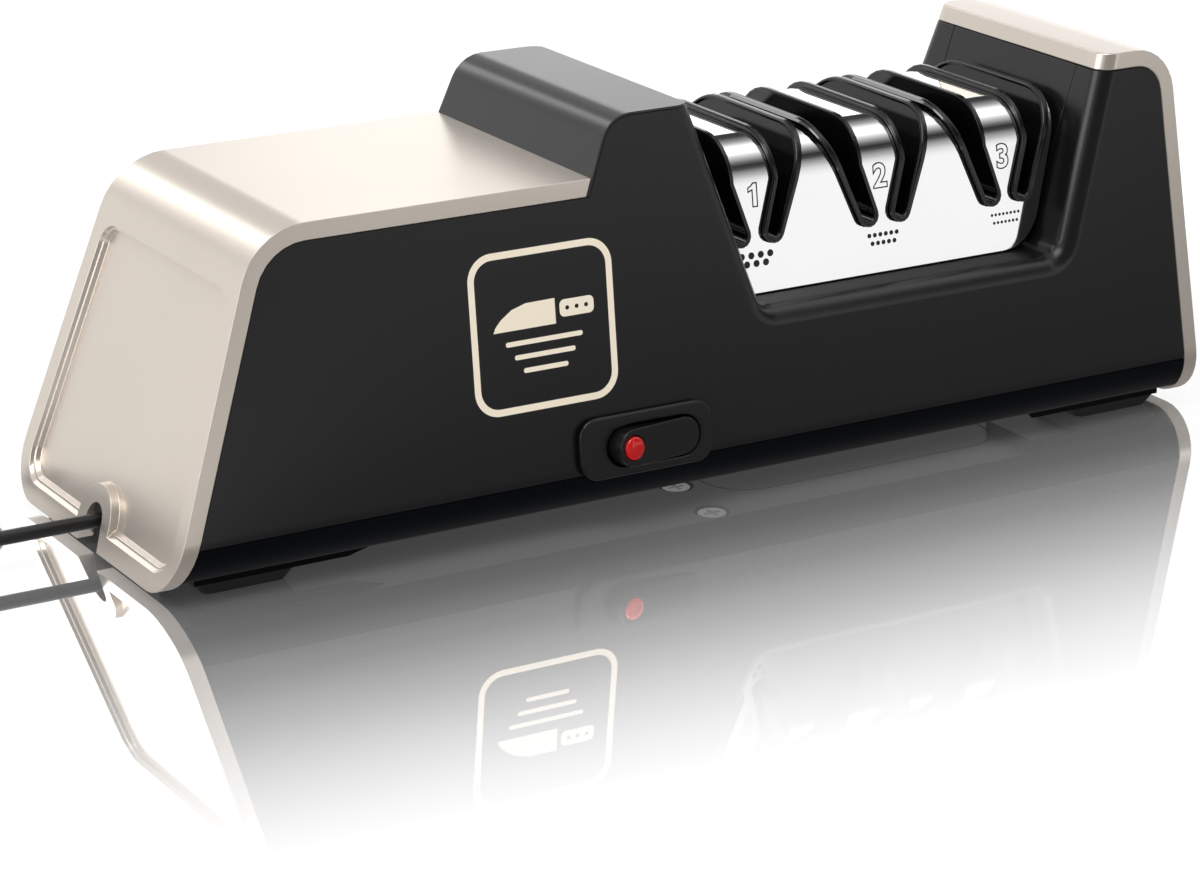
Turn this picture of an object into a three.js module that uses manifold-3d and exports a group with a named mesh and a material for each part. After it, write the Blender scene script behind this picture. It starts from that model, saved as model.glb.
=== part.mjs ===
import * as THREE from 'three';
import { mergeVertices } from 'three/addons/utils/BufferGeometryUtils.js';
import Module from 'manifold-3d';

// Electric knife sharpener: a tapered housing with a three-stage sharpening module in a recess.
// Millimetres. +X runs along the housing away from the cord, -Y is the switch side, +Z is up.
// The origin is on the table, under the middle of the housing.

// Housing section, across X: sides lean in towards the top and meet a rounded skirt
const halfWidthAtFloor = 48.5;
const sideLeanShare = 0.12;
const skirtBottom = 2.1;
const skirtRadius = 12.5;

// Housing profile, along X
const leftEndAtFloor = 150.3;
const leftLeanShare = 0.34;
const rightEndAtFloor = 149.7;
const rightLeanShare = 0.08;
const leftTop = 85.1;
const humpRise = 14.3;
const rightDrop = 2.8;
const humpFootX = -34.4;
const humpLeanShare = 0.386;
const humpRadius = 8.5;
const humpEdgeRadius = 1.2;
const leftCornerRadius = 18;
const rightCornerRadius = 11.5;
const bandWidth = 4.2;
const baseLine = 14;
const trayFloor = 5.5;

// Walls and joints between mouldings
const wall = 2.5;
const seam = 0.2;
const clearance = 0.3;
const lip = 0.75;
const overrun = 5;
const facetDepth = 0.08;
const pointGap = 0.0002;
const nookSteps = 6;
const cornerSteps = 4;

// Recess that holds the module
const ledge = 46.5;
const leftWallAtLedge = 14.5;
const leftWallShare = 0.346;
const rightWallAtLedge = 105;
const rightWallShare = 0.318;
const leftNookRadius = 4.5;
const rightNookRadius = 5.5;
const filletRadius = 4.5;
const filletSteps = 5;
const collarWall = 1.2;
const flangeReach = 27;

// Panel pressed into the left end, with the arch over the cord
const pressingTop = 70.3;
const pressingBottom = 6.6;
const pressingMargin = 5.2;
const pressingTopRadius = 6;
const pressingBottomRadius = 7;
const pressingDepth = 2.2;
const pressingStep = 1;
const pressingBevel = 0.5;
const archRadius = 8.8;
const cordHeight = 8;
const notchRadius = 4.4;
const notchFootHalf = 5.8;

// Feet under the tray
const footBlockBottom = 3;
const footEdgeInset = 8.5;
const footWidth = 20;
const footTaper = 2.2;
const footCornerRadius = 2;
const leftBlock = { from: -140, to: -100.2, ramp: 9.7 };
const rightBlock = { from: 99.6, to: 141, ramp: 2.2 };
const leftFoot = { from: -139.3, to: -113.7 };
const rightFoot = { from: 113.6, to: 140.6 };

// Clean-out cover in the tray
const cleanOut = { left: 12, right: 100, half: 30, radius: 12 };
const cleanOutPlate = 1.5;
const cleanOutRebate = 2.5;

// Module: bright bent cover over a black carrier
const moduleHalfAtLedge = 31.1;
const moduleLeanShare = 0.141;
const moduleTop = 84.3;
const moduleEdgeRadius = 12.5;
const moduleGap = 0.6;
const coverSheet = 1;
const carrierWall = 2;
const moduleRightAtLedge = 103.9;
const moduleRightShare = 0.29;
const moduleRightRadius = 12;
const carrierInset = 0.8;

// Six guide slots, in three pairs
const stageCentres = [19.6, 57.9, 96.2];
const slotFoot = { x: -4.9, z: 62, radius: 2.95 };
const slotKink = { x: -6, z: 75 };
const slotMouth = { outer: -17.3, inner: -5.6, z: 86 };
const slotWall = 1;
const slotProud = 1.5;

// Grinding spindle
const shaftHeight = 46;
const shaftRadius = 4;
const shaftLeft = -21.5;
const shaftRight = 121;
const discRadius = 22;
const discThickness = 3.5;
const discRim = 8;
const discWeb = 2;
const discHubRadius = 7;
const discHalfGap = 0.5;
const discRun = 1;

// Bearings and their blocks
const bearingRadius = 11;
const bearingWidth = 7;
const blockHalfWidth = 15;
const blockFootHalf = 24;
const blockFootThickness = 3;
const leftBlockX = -9.5;
const leftBlockFootEnd = 9.5;
const rightBlockX = 113;
const rightBlockFootEnd = 131;

// Motor, fan and coupling
const motorRadius = 25;
const motorLeft = -104;
const motorRight = -54;
const motorChamfer = 2;
const motorBossRadius = 9;
const motorBossLength = 4;
const rotorRadius = 3;
const rotorLeft = -115;
const fanRadius = 22;
const fanHubRadius = 7;
const fanLeft = -113.5;
const fanDepth = 7;
const fanBlades = 9;
const fanBladeThickness = 1.2;
const fanBladePitch = THREE.MathUtils.degToRad(35);
const couplingRadius = 8;
const couplingLeft = -32;
const couplingRight = -12;
const bracketThickness = 3;
const bracketHalfWidth = 27;
const bracketFootLength = 12;
const saddleLeft = -100;
const saddleLength = 10;
const saddleHalfWidth = 18;

// Switch on the front, in the plane of the leaning side
const switchX = -22.8;
const switchHeight = 20.34;
const padHalfLength = 18.8;
const padHalfHeight = 7.7;
const padRadius = 5;
const padProud = 2;
const rockerOffsetX = 1.95;
const rockerOffsetZ = -0.35;
const rockerHalfLength = 12.85;
const rockerHalfHeight = 4.6;
const rockerRise = 4.4;
const rockerDepth = 4;
const rockerPivotDepth = 1.2;
const rockerPinRadius = 0.6;
const rockerPinReach = 0.9;
const rockerGap = 0.35;
const rockerTravel = THREE.MathUtils.degToRad(19);
const travelShares = [0.25, 0.5, 0.75, 1];
const sleeveWall = 0.9;
const sleeveDepth = 10.5;
const lensRadius = 2.9;
const lensRise = 0.9;
const lensDepth = 1.6;
const lensCrownShare = 0.8;
const lensFromEnd = 5.1;
const switchBodyDepth = 9;
const terminalLength = 4;
const terminalHalfWidth = 2;
const terminalThickness = 0.8;

// Circuit board behind the switch
const boardLeft = -46;
const boardRight = -12;
const boardGap = 1.7;
const boardThickness = 1.6;
const boardHeight = 28;
const capacitorX = -36;
const capacitorHeight = 20;
const capacitorRadius = 6;
const capacitorLength = 16;

// Screws under the tray
const screwHeadRadius = 3.7;
const screwHeadThickness = 0.9;
const screwRadius = 1.6;
const screwLength = 13;
const screwRecessRadius = 4.7;
const screwRecessDepth = 1.4;
const screwSlotWidth = 1;
const screwSlotDepth = 0.5;
const screwSlotShare = 0.6;
const bossRadius = 4.2;
const bossHeight = 22;
const frameScrewX = 4.7;
const frameScrewY = 16.7;
const panelScrewX = 2.4;
const panelScrewY = 37.6;
const rearScrewX = 125.5;

// Strain relief and two-core cord
const cordRadius = 1.75;
const cordSides = 8;
const reliefSetBack = 2.3;
const reliefFlangeRadius = 7.2;
const reliefFlangeThickness = 2;
const coilX = -240;
const coilLayers = 4;
const turnsPerLayer = 2.125;
const turnSteps = 24;
const coilSides = 6;
const coilInnerRadius = 15;
const turnPitch = 4.05;
const layerRise = 4.1;

// Two-blade plug
const plugReach = 37.5;
const plugLength = 30;
const plugNeckRadius = 3.6;
const plugEdgeRadius = 3.2;
const plugHalfWidth = 11;
const plugHalfThickness = 7.5;
const bladeLength = 17.5;
const bladeHalfWidth = 3.15;
const bladeThickness = 1.5;
const bladeSpacing = 12.7;
const bladeTipRadius = 1.5;
const plugStationShares = [0, 0.25, 0.5, 0.75, 1];
const plugSwellShares = [0, 0.1, 0.55, 0.95, 1];

const footOuter = halfWidthAtFloor - footEdgeInset;
const footInner = footOuter - footWidth;
const humpTop = leftTop + humpRise;
const rightTop = humpTop - rightDrop;
const coilOuterRadius = coilInnerRadius + turnPitch * turnsPerLayer;
const coilY = coilOuterRadius;
const farX = leftEndAtFloor + overrun;
const farY = halfWidthAtFloor + overrun;
const farZ = humpTop + overrun;

const wasm = await Module();
wasm.setup();

// Turns a closed three.js geometry into a solid, with its faces pointing out
function solidOf(geometry) {
  const bare = geometry.clone();
  bare.deleteAttribute('normal');
  bare.deleteAttribute('uv');
  const merged = mergeVertices(bare);
  const vertProperties = merged.attributes.position.array;
  const corner = (i) => new THREE.Vector3().fromArray(vertProperties, 3 * i);
  const index = merged.index.array;
  const triangles = [];
  let volume = 0;
  for (let i = 0; i < index.length; i += 3) {
    const [a, b, c] = [index[i], index[i + 1], index[i + 2]];
    if (a === b || b === c || c === a) continue;
    triangles.push([a, b, c]);
    volume += corner(a).dot(corner(b).cross(corner(c)));
  }
  if (volume < 0) triangles.forEach((triangle) => triangle.reverse());
  const triVerts = Uint32Array.from(triangles.flat());
  return new wasm.Manifold(new wasm.Mesh({ numProp: 3, vertProperties, triVerts }));
}

function geometryOf(solid) {
  const { vertProperties, triVerts } = solid.getMesh();
  const geometry = new THREE.BufferGeometry();
  geometry.setAttribute('position', new THREE.BufferAttribute(vertProperties, 3));
  geometry.setIndex(new THREE.BufferAttribute(triVerts, 1));
  return geometry;
}

const join = (solids) => solids.reduce((whole, solid) => whole.add(solid));
const cutAll = (solid, cutters) => cutters.reduce((rest, cutter) => rest.subtract(cutter), solid);

// Angle between the corners of an arc that stays within the facet depth of its circle
const facetAngle = (radius) => 2 * Math.acos(1 - facetDepth / radius);

// Closed outline from corners [u, v, radius, steps], with an arc at each corner with a radius
function rounded(corners) {
  const outline = [];
  const add = (point) => {
    const last = outline.at(-1);
    if (!last || last.distanceTo(point) > pointGap) outline.push(point);
  };
  corners.forEach(([u, v, radius, arcSteps], i) => {
    const corner = new THREE.Vector2(u, v);
    if (!radius) {
      add(corner);
      return;
    }
    const toward = (other) => new THREE.Vector2(other[0], other[1]).sub(corner).normalize();
    const before = toward(corners.at(i - 1));
    const after = toward(corners[(i + 1) % corners.length]);
    const half = before.angleTo(after) / 2;
    const inward = before.clone().add(after).normalize();
    const centre = corner.clone().addScaledVector(inward, radius / Math.sin(half));
    const start = corner.clone().addScaledVector(before, radius / Math.tan(half)).sub(centre);
    const side = Math.sign(before.cross(after)) || 1;
    const sweep = -side * (Math.PI - 2 * half);
    const steps = arcSteps ?? Math.ceil(Math.abs(sweep) / facetAngle(radius));
    for (let k = 0; k <= steps; k += 1) {
      add(start.clone().rotateAround(new THREE.Vector2(), (sweep * k) / steps).add(centre));
    }
  });
  if (outline[0].distanceTo(outline.at(-1)) < pointGap) outline.pop();
  return outline;
}

function extruded(outline, depth) {
  return new THREE.ExtrudeGeometry(new THREE.Shape(outline), { depth, bevelEnabled: false });
}

const unitX = new THREE.Vector3(1, 0, 0);
const unitY = new THREE.Vector3(0, 1, 0);
const unitZ = new THREE.Vector3(0, 0, 1);

// An outline in X and Z, run along Y
function alongY(outline, from, to) {
  const turn = new THREE.Matrix4().makeBasis(unitX, unitZ, unitY.clone().negate());
  return solidOf(extruded(outline, to - from).applyMatrix4(turn.setPosition(0, to, 0)));
}

// An outline in Y and Z, run along X
function alongX(outline, from, to) {
  const turn = new THREE.Matrix4().makeBasis(unitY, unitZ, unitX);
  return solidOf(extruded(outline, to - from).applyMatrix4(turn.setPosition(from, 0, 0)));
}

// An outline in X and Y, run along Z
function alongZ(outline, from, to) {
  return solidOf(extruded(outline, to - from).translate(0, 0, from));
}

function block(x0, x1, y0, y1, z0, z1) {
  return alongZ(rounded([[x0, y0], [x1, y0], [x1, y1], [x0, y1]]), z0, z1);
}

// A profile of [radius, place along the axis], turned about the X axis at the shaft's height
function turnedOnShaft(profile, segments = 32) {
  const points = profile.map(([radius, along]) => new THREE.Vector2(radius, along));
  const lathe = new THREE.LatheGeometry(points, segments).rotateZ(-Math.PI / 2);
  return solidOf(lathe.translate(0, 0, shaftHeight));
}

function ring(outer, inner, from, to, segments = 24) {
  const profile = [[inner, from], [outer, from], [outer, to], [inner, to], [inner, from]];
  return turnedOnShaft(profile, segments);
}

function rod(radius, from, to, segments = 24) {
  return turnedOnShaft([[0, from], [radius, from], [radius, to], [0, to]], segments);
}

function upright(radius, x, y, from, to, segments = 16) {
  const points = [[0, from], [radius, from], [radius, to], [0, to]];
  const lathe = new THREE.LatheGeometry(points.map(([r, z]) => new THREE.Vector2(r, z)), segments);
  return solidOf(lathe.rotateX(Math.PI / 2).translate(x, y, 0));
}

// A solid through outlines of equal length, each placed in space by place(point, number)
function lofted(outlines, place) {
  const count = outlines[0].length;
  const positions = [];
  outlines.forEach((outline, k) => {
    outline.forEach((point) => positions.push(...place(point, k).toArray()));
  });
  const index = [];
  for (let k = 0; k + 1 < outlines.length; k += 1) {
    for (let i = 0; i < count; i += 1) {
      const [a, b] = [k * count + i, k * count + ((i + 1) % count)];
      index.push(a, b, b + count, a, b + count, a + count);
    }
  }
  const last = (outlines.length - 1) * count;
  THREE.ShapeUtils.triangulateShape(outlines[0].slice(), []).forEach(([a, b, c]) => {
    index.push(c, b, a, last + a, last + b, last + c);
  });
  const geometry = new THREE.BufferGeometry();
  geometry.setAttribute('position', new THREE.Float32BufferAttribute(positions, 3));
  geometry.setIndex(index);
  return solidOf(geometry);
}

// Lines of the housing
const halfWidth = (z) => halfWidthAtFloor - sideLeanShare * z;
const leftX = (z) => leftLeanShare * z - leftEndAtFloor;
const leftInnerX = (z) => leftX(z) + bandWidth;
const rightX = (z) => rightEndAtFloor - rightLeanShare * z;
const rightInnerX = (z) => rightX(z) - bandWidth;
const leftUnder = leftTop - bandWidth;
const rightUnder = rightTop - bandWidth;
const humpX = (z) => humpFootX + humpLeanShare * (z - leftUnder);
const leftWallX = (z) => leftWallAtLedge - leftWallShare * (z - ledge);
const rightWallX = (z) => rightWallAtLedge + rightWallShare * (z - ledge);
const slanted = (width, share) => width * Math.hypot(1, share);
const stageMiddle = (leftWallAtLedge + rightWallAtLedge) / 2;

// The housing's outer form, drawn in by an inset
function body(inset) {
  const low = skirtBottom + inset;
  const radius = Math.max(skirtRadius - inset, 0);
  const section = rounded([
    [inset - halfWidth(low), low, radius],
    [halfWidth(low) - inset, low, radius],
    [halfWidth(farZ) - inset, farZ],
    [inset - halfWidth(farZ), farZ],
  ]);
  return alongX(section, -farX, farX);
}

const outside = body(0);
const acrossBody = (outline) => alongY(outline, -farY, farY);
const shaped = (outline) => acrossBody(outline).intersect(outside);
const frontHalf = () => block(-farX, farX, -farY, 0, -overrun, farZ);
const rearHalf = () => block(-farX, farX, 0, farY, -overrun, farZ);

// Outline of the recess in X and Z, open at the top, grown by an offset
function notchOutline(offset, top = farZ) {
  const left = (z) => leftWallX(z) - slanted(offset, leftWallShare);
  const right = (z) => rightWallX(z) + slanted(offset, rightWallShare);
  const low = ledge - offset;
  return rounded([
    [left(top), top],
    [left(low), low, leftNookRadius + offset, nookSteps],
    [right(low), low, rightNookRadius + offset, nookSteps],
    [right(top), top],
  ]);
}

// The recess as a cutter from one side, flaring out to the side face by the fillet's arc
function notchCutter(side, depth) {
  const offsets = [filletRadius];
  const depths = [-overrun];
  for (let k = filletSteps; k >= 0; k -= 1) {
    const angle = (Math.PI / 2) * (k / filletSteps);
    offsets.push(filletRadius * (1 - Math.cos(angle)));
    depths.push(filletRadius * (1 - Math.sin(angle)));
  }
  if (depth > filletRadius) {
    offsets.push(0);
    depths.push(depth);
  }
  const outlines = offsets.map((offset) => notchOutline(offset));
  const place = (point, k) => new THREE.Vector3(point.x, side * (halfWidth(point.y) - depths[k]), point.y);
  return lofted(outlines, place);
}

const filletCutters = [notchCutter(-1, 0), notchCutter(1, 0)];

// Outline of a side panel: inside the bands by a gap, and inside the hump's edge by its lip
function panelOutline(gap, edge) {
  const rim = slanted(edge, humpLeanShare);
  return rounded([
    [leftInnerX(baseLine) + gap, baseLine + gap / 2],
    [leftInnerX(leftUnder - gap) + gap, leftUnder - gap, leftCornerRadius - bandWidth - gap],
    [humpX(leftUnder - gap) + rim, leftUnder - gap],
    [humpX(humpTop - edge) + rim, humpTop - edge, humpRadius - edge],
    [stageMiddle, humpTop - edge],
    [stageMiddle, rightUnder - gap],
    [rightInnerX(rightUnder - gap) - gap, rightUnder - gap, rightCornerRadius - bandWidth - gap],
    [rightInnerX(baseLine) - gap, baseLine + gap / 2],
  ]);
}

// Both side panels before the recess is cut: plate, collar behind the fillet, and ledge flange
function panelBlank(gap, edge, grow) {
  const form = body(-grow);
  const plate = form.subtract(body(wall + grow));
  const collarDepth = filletRadius + collarWall + grow;
  const collar = acrossBody(notchOutline(collarDepth)).intersect(form.subtract(body(collarDepth)));
  const middle = block(-farX, farX, grow - flangeReach, flangeReach - grow, -overrun, farZ);
  const flange = acrossBody(notchOutline(wall + grow)).intersect(form).subtract(middle);
  return join([plate, collar, flange]).intersect(acrossBody(panelOutline(gap, edge)));
}

const panelZone = panelBlank(0, lip - seam, seam);

// Turned frame of the switch: its own y = 0 is the plane of the leaning front
const switchFrame = new THREE.Group();
switchFrame.position.set(switchX, -halfWidth(switchHeight), switchHeight);
switchFrame.rotation.x = -Math.atan(sideLeanShare);
switchFrame.updateMatrix();

function stadium(halfLength, halfHeight, grow = 0) {
  const [u, v] = [halfLength + grow, halfHeight + grow];
  const [x, z] = [rockerOffsetX, rockerOffsetZ];
  return rounded([[x - u, z - v, v], [x + u, z - v, v], [x + u, z + v, v], [x - u, z + v, v]]);
}

function placedInSwitchFrame(solid) {
  return solidOf(geometryOf(solid).applyMatrix4(switchFrame.matrix));
}

// Front or rear side panel, with the boss that takes its screw
function sidePanel(side) {
  const half = side < 0 ? frontHalf() : rearHalf();
  const depth = halfWidthAtFloor - flangeReach + overrun;
  const plate = panelBlank(seam, lip, 0).intersect(half).subtract(notchCutter(side, depth));
  const bossY = side * panelScrewY;
  const low = trayFloor + wall + clearance;
  const boss = upright(bossRadius, panelScrewX, bossY, low, low + bossHeight);
  const web = block(
    panelScrewX - wall / 2,
    panelScrewX + wall / 2,
    Math.min(bossY, side * farY),
    Math.max(bossY, side * farY),
    baseLine + seam,
    low + bossHeight,
  ).intersect(body(wall / 2));
  const pilot = upright(screwRadius + clearance, panelScrewX, bossY, 0, trayFloor + screwLength + wall);
  return join([plate, boss.intersect(body(wall / 2)), web]).subtract(pilot);
}

// Opening for the switch sleeve; the sleeve leans, so its lower edge dips into the tray's rim
const switchOpening = placedInSwitchFrame(alongY(
  stadium(rockerHalfLength, rockerHalfHeight, rockerGap + sleeveWall + clearance),
  -overrun,
  sleeveDepth,
));

const frontPanel = () => sidePanel(-1).subtract(switchOpening);

// Pressed field in the left end, as a cutter that follows the leaning face
function pressing() {
  const insets = [0, 0, pressingBevel, 2 * pressingBevel, 3 * pressingBevel];
  const depths = [-overrun, 0, pressingStep, pressingStep, pressingDepth];
  const outlines = insets.map((inset) => {
    const half = (z) => halfWidth(z) - pressingMargin - inset;
    const [low, high] = [pressingBottom + inset, pressingTop - inset];
    return rounded([
      [-half(low), low, pressingBottomRadius - inset, nookSteps],
      [half(low), low, pressingBottomRadius - inset, nookSteps],
      [half(high), high, pressingTopRadius - inset, nookSteps],
      [-half(high), high, pressingTopRadius - inset, nookSteps],
    ]);
  });
  const place = (point, k) => new THREE.Vector3(leftX(point.y) + depths[k], point.x, point.y);
  return lofted(outlines, place);
}

// Arch-topped outline in Y and Z round the cord
function arch(radius, footHalf, low) {
  const crown = cordHeight + radius;
  return rounded([
    [-footHalf, low],
    [footHalf, low],
    [radius, cordHeight],
    [radius, crown, radius],
    [-radius, crown, radius],
    [-radius, cordHeight],
  ]);
}

function leftCover() {
  const outline = rounded([
    [leftX(skirtBottom), skirtBottom],
    [leftX(leftTop), leftTop, leftCornerRadius],
    [humpX(leftTop) - seam, leftTop],
    [humpX(leftUnder) - seam, leftUnder],
    [leftInnerX(leftUnder), leftUnder, leftCornerRadius - bandWidth],
    [leftInnerX(skirtBottom), skirtBottom],
  ]);
  const boss = alongX(arch(archRadius, archRadius, -overrun), -farX, 0);
  const notch = alongX(arch(notchRadius, notchFootHalf, skirtBottom - seam), -farX, 0);
  return shaped(outline).subtract(pressing().subtract(boss)).subtract(notch);
}

function rightCover() {
  const outline = rounded([
    [rightWallX(rightTop), rightTop],
    [rightX(rightTop), rightTop, rightCornerRadius],
    [rightX(skirtBottom), skirtBottom],
    [rightInnerX(skirtBottom), skirtBottom],
    [rightInnerX(rightUnder), rightUnder, rightCornerRadius - bandWidth],
    [rightWallX(rightUnder), rightUnder],
  ]);
  return cutAll(shaped(outline), filletCutters);
}

const shaftHole = (radius) => rod(radius, -farX, farX);

function humpCover() {
  const foot = leftUnder - wall;
  const inner = slanted(wall, humpLeanShare);
  const back = slanted(wall, leftWallShare);
  const low = ledge + seam;
  const outline = rounded([
    [humpX(foot), foot],
    [humpX(humpTop), humpTop, humpRadius],
    [leftWallX(humpTop), humpTop, humpEdgeRadius],
    [leftWallX(low), low],
    [leftWallX(low) - back, low],
    [leftWallX(humpTop - wall) - back, humpTop - wall],
    [humpX(humpTop - wall) + inner, humpTop - wall, humpRadius - wall],
    [humpX(foot) + inner, foot],
  ]);
  return cutAll(shaped(outline), [panelZone, ...filletCutters, shaftHole(shaftRadius + discRun)]);
}

function recessWall() {
  const low = ledge + seam;
  const high = rightUnder - seam;
  const back = slanted(wall, rightWallShare);
  const outline = rounded([
    [rightWallX(low), low],
    [rightWallX(high), high],
    [rightWallX(high) + back, high],
    [rightWallX(low) + back, low],
  ]);
  return cutAll(shaped(outline), [panelZone, ...filletCutters, shaftHole(shaftRadius + discRun)]);
}

function cleanOutOutline(inset) {
  const { left, right, half, radius } = cleanOut;
  return rounded([
    [left + inset, inset - half, radius - inset],
    [right - inset, inset - half, radius - inset],
    [right - inset, half - inset, radius - inset],
    [left + inset, half - inset, radius - inset],
  ]);
}

const screwPlaces = [
  [frameScrewX, -frameScrewY],
  [frameScrewX, frameScrewY],
  [panelScrewX, -panelScrewY],
  [panelScrewX, panelScrewY],
  [rearScrewX, -frameScrewY],
  [rearScrewX, frameScrewY],
];

function footBlocks(side) {
  const top = trayFloor + wall / 2;
  const outlines = [
    [
      [leftBlock.from, top],
      [leftBlock.from, footBlockBottom],
      [leftBlock.to, footBlockBottom],
      [leftBlock.to + leftBlock.ramp, trayFloor],
      [leftBlock.to + leftBlock.ramp, top],
    ],
    [
      [rightBlock.to, top],
      [rightBlock.to, footBlockBottom],
      [rightBlock.from, footBlockBottom],
      [rightBlock.from - rightBlock.ramp, trayFloor],
      [rightBlock.from - rightBlock.ramp, top],
    ],
  ];
  const [from, to] = side < 0 ? [-footOuter, -footInner] : [footInner, footOuter];
  return outlines.map((corners) => alongY(rounded(corners), from, to));
}

function baseTray() {
  const top = baseLine - seam / 2;
  const floor = trayFloor + wall;
  const ends = (low, high, inset) => rounded([
    [leftInnerX(low) + inset, low],
    [leftInnerX(high) + inset, high],
    [rightInnerX(high) - inset, high],
    [rightInnerX(low) - inset, low],
  ]);
  const hollow = acrossBody(ends(floor, baseLine + overrun, seam + wall)).intersect(body(wall));
  const rebateTop = trayFloor + cleanOutPlate + clearance;
  const cordGap = reliefFlangeRadius + clearance;
  const cutters = [
    hollow,
    switchOpening,
    alongZ(cleanOutOutline(0), -overrun, rebateTop),
    alongZ(cleanOutOutline(cleanOutRebate), -overrun, floor + overrun),
    block(-farX, leftInnerX(baseLine) + reliefFlangeThickness + 2 * clearance, -cordGap, cordGap, 0, farZ),
  ];
  screwPlaces.forEach(([x, y]) => {
    cutters.push(upright(screwRecessRadius, x, y, 0, trayFloor + screwRecessDepth));
    cutters.push(upright(screwRadius + clearance, x, y, 0, baseLine));
  });
  const tray = shaped(ends(trayFloor, top, seam));
  return cutAll(join([tray, ...footBlocks(-1), ...footBlocks(1)]), cutters);
}

// Rubber foot under a block, wider at the top
function rubberFoot({ from, to }, side) {
  const outline = (inset) => rounded([
    [from + inset, footInner + inset, footCornerRadius, cornerSteps],
    [to - inset, footInner + inset, footCornerRadius, cornerSteps],
    [to - inset, footOuter - inset / 2, footCornerRadius, cornerSteps],
    [from + inset, footOuter - inset / 2, footCornerRadius, cornerSteps],
  ]);
  const outlines = [outline(footTaper), outline(0)];
  const heights = [0, footBlockBottom];
  return lofted(outlines, (point, k) => new THREE.Vector3(point.x, side * point.y, heights[k]));
}

const cleanOutCover = () => alongZ(cleanOutOutline(clearance), trayFloor, trayFloor + cleanOutPlate);

function screw([x, y]) {
  const under = trayFloor + screwRecessDepth - clearance;
  const low = under - screwHeadThickness;
  const head = upright(screwHeadRadius, x, y, low, under);
  const shank = upright(screwRadius, x, y, low + screwSlotDepth, low + screwLength, 8);
  const [arm, half] = [screwHeadRadius * screwSlotShare, screwSlotWidth / 2];
  const cross = [
    block(x - arm, x + arm, y - half, y + half, 0, low + screwSlotDepth),
    block(x - half, x + half, y - arm, y + arm, 0, low + screwSlotDepth),
  ];
  return cutAll(join([head, shank]), cross);
}

// Module: form of its cover across X, drawn in by an inset
function moduleForm(inset) {
  const half = (z) => moduleHalfAtLedge - moduleLeanShare * (z - ledge) - inset;
  const top = moduleTop - inset;
  const section = rounded([
    [-half(ledge - overrun), ledge - overrun],
    [half(ledge - overrun), ledge - overrun],
    [half(top), top, moduleEdgeRadius - inset],
    [-half(top), top, moduleEdgeRadius - inset],
  ]);
  return alongX(section, -farX, farX);
}

const moduleLeftX = (z) => leftWallX(z) + moduleGap;
const moduleRightX = (z) => moduleRightAtLedge + moduleRightShare * (z - ledge);
const moduleBottom = ledge + clearance;

function moduleOutline(inset, cornerRadius) {
  return rounded([
    [moduleLeftX(farZ) + inset, farZ],
    [moduleLeftX(moduleBottom) + inset, moduleBottom, leftNookRadius],
    [moduleRightX(moduleBottom) - inset, moduleBottom, cornerRadius],
    [moduleRightX(farZ) - inset, farZ],
  ]);
}

// Points round a slot's foot, between the lines that touch it from two points above
function footArc(centre, radius, fromPoint, toPoint) {
  const touch = (point, turn) => {
    const away = point.clone().sub(centre);
    return away.angle() + turn * Math.acos(radius / away.length());
  };
  const start = touch(fromPoint, 1);
  let sweep = touch(toPoint, -1) - start;
  while (sweep < 0) sweep += 2 * Math.PI;
  const steps = Math.ceil(sweep / facetAngle(radius));
  return Array.from({ length: steps + 1 }, (_, k) => {
    const angle = start + (sweep * k) / steps;
    return new THREE.Vector2(Math.cos(angle), Math.sin(angle)).multiplyScalar(radius).add(centre);
  });
}

// A slot's outline in X and Z, drawn in by an inset: hand -1 is the left slot of a pair
function slotOutline(centre, hand, inset) {
  const outer = new THREE.Vector2(slotMouth.outer + inset, slotMouth.z);
  const kink = new THREE.Vector2(slotKink.x - inset, slotKink.z);
  const inner = new THREE.Vector2(slotMouth.inner - inset, slotMouth.z);
  const foot = footArc(new THREE.Vector2(slotFoot.x, slotFoot.z), slotFoot.radius - inset, outer, kink);
  const above = slotMouth.z + overrun;
  const lean = (slotMouth.outer - slotFoot.x) / (slotMouth.z - slotFoot.z);
  const outline = [
    new THREE.Vector2(outer.x + lean * overrun, above),
    ...foot,
    kink,
    inner,
    new THREE.Vector2(inner.x, above),
  ];
  return outline.map((point) => new THREE.Vector2(centre - hand * point.x, point.y));
}

const slots = stageCentres.flatMap((centre) => [-1, 1].map((hand) => ({ centre, hand })));
const slotPassages = slots.map(({ centre, hand }) => acrossBody(slotOutline(centre, hand, -seam)));

function brightCover() {
  const sheet = moduleForm(0).subtract(moduleForm(coverSheet));
  return cutAll(sheet.intersect(acrossBody(moduleOutline(0, moduleRightRadius))), slotPassages);
}

function slotCarrier() {
  const outer = coverSheet + seam;
  const shell = moduleForm(outer).subtract(moduleForm(outer + carrierWall));
  const outline = acrossBody(moduleOutline(carrierInset, leftNookRadius));
  const endOutline = rounded([
    [moduleRightX(moduleBottom) - carrierInset - carrierWall, moduleBottom],
    [farX, moduleBottom],
    [farX, farZ],
    [moduleRightX(farZ) - carrierInset - carrierWall, farZ],
  ]);
  const endWall = moduleForm(outer).intersect(acrossBody(endOutline));
  return cutAll(shell.add(endWall).intersect(outline), [...slotPassages, shaftHole(shaftRadius + discRun)]);
}

// Black guide that lines one slot, standing proud of the bright cover
function slotGuide({ centre, hand }) {
  const trough = acrossBody(slotOutline(centre, hand, 0)).intersect(moduleForm(-slotProud));
  const passage = acrossBody(slotOutline(centre, hand, slotWall));
  const reach = discHalfGap + discThickness + clearance;
  const window = rod(discRadius + discRun, centre - reach, centre + reach, 40);
  return cutAll(trough, [passage, window]);
}

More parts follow.
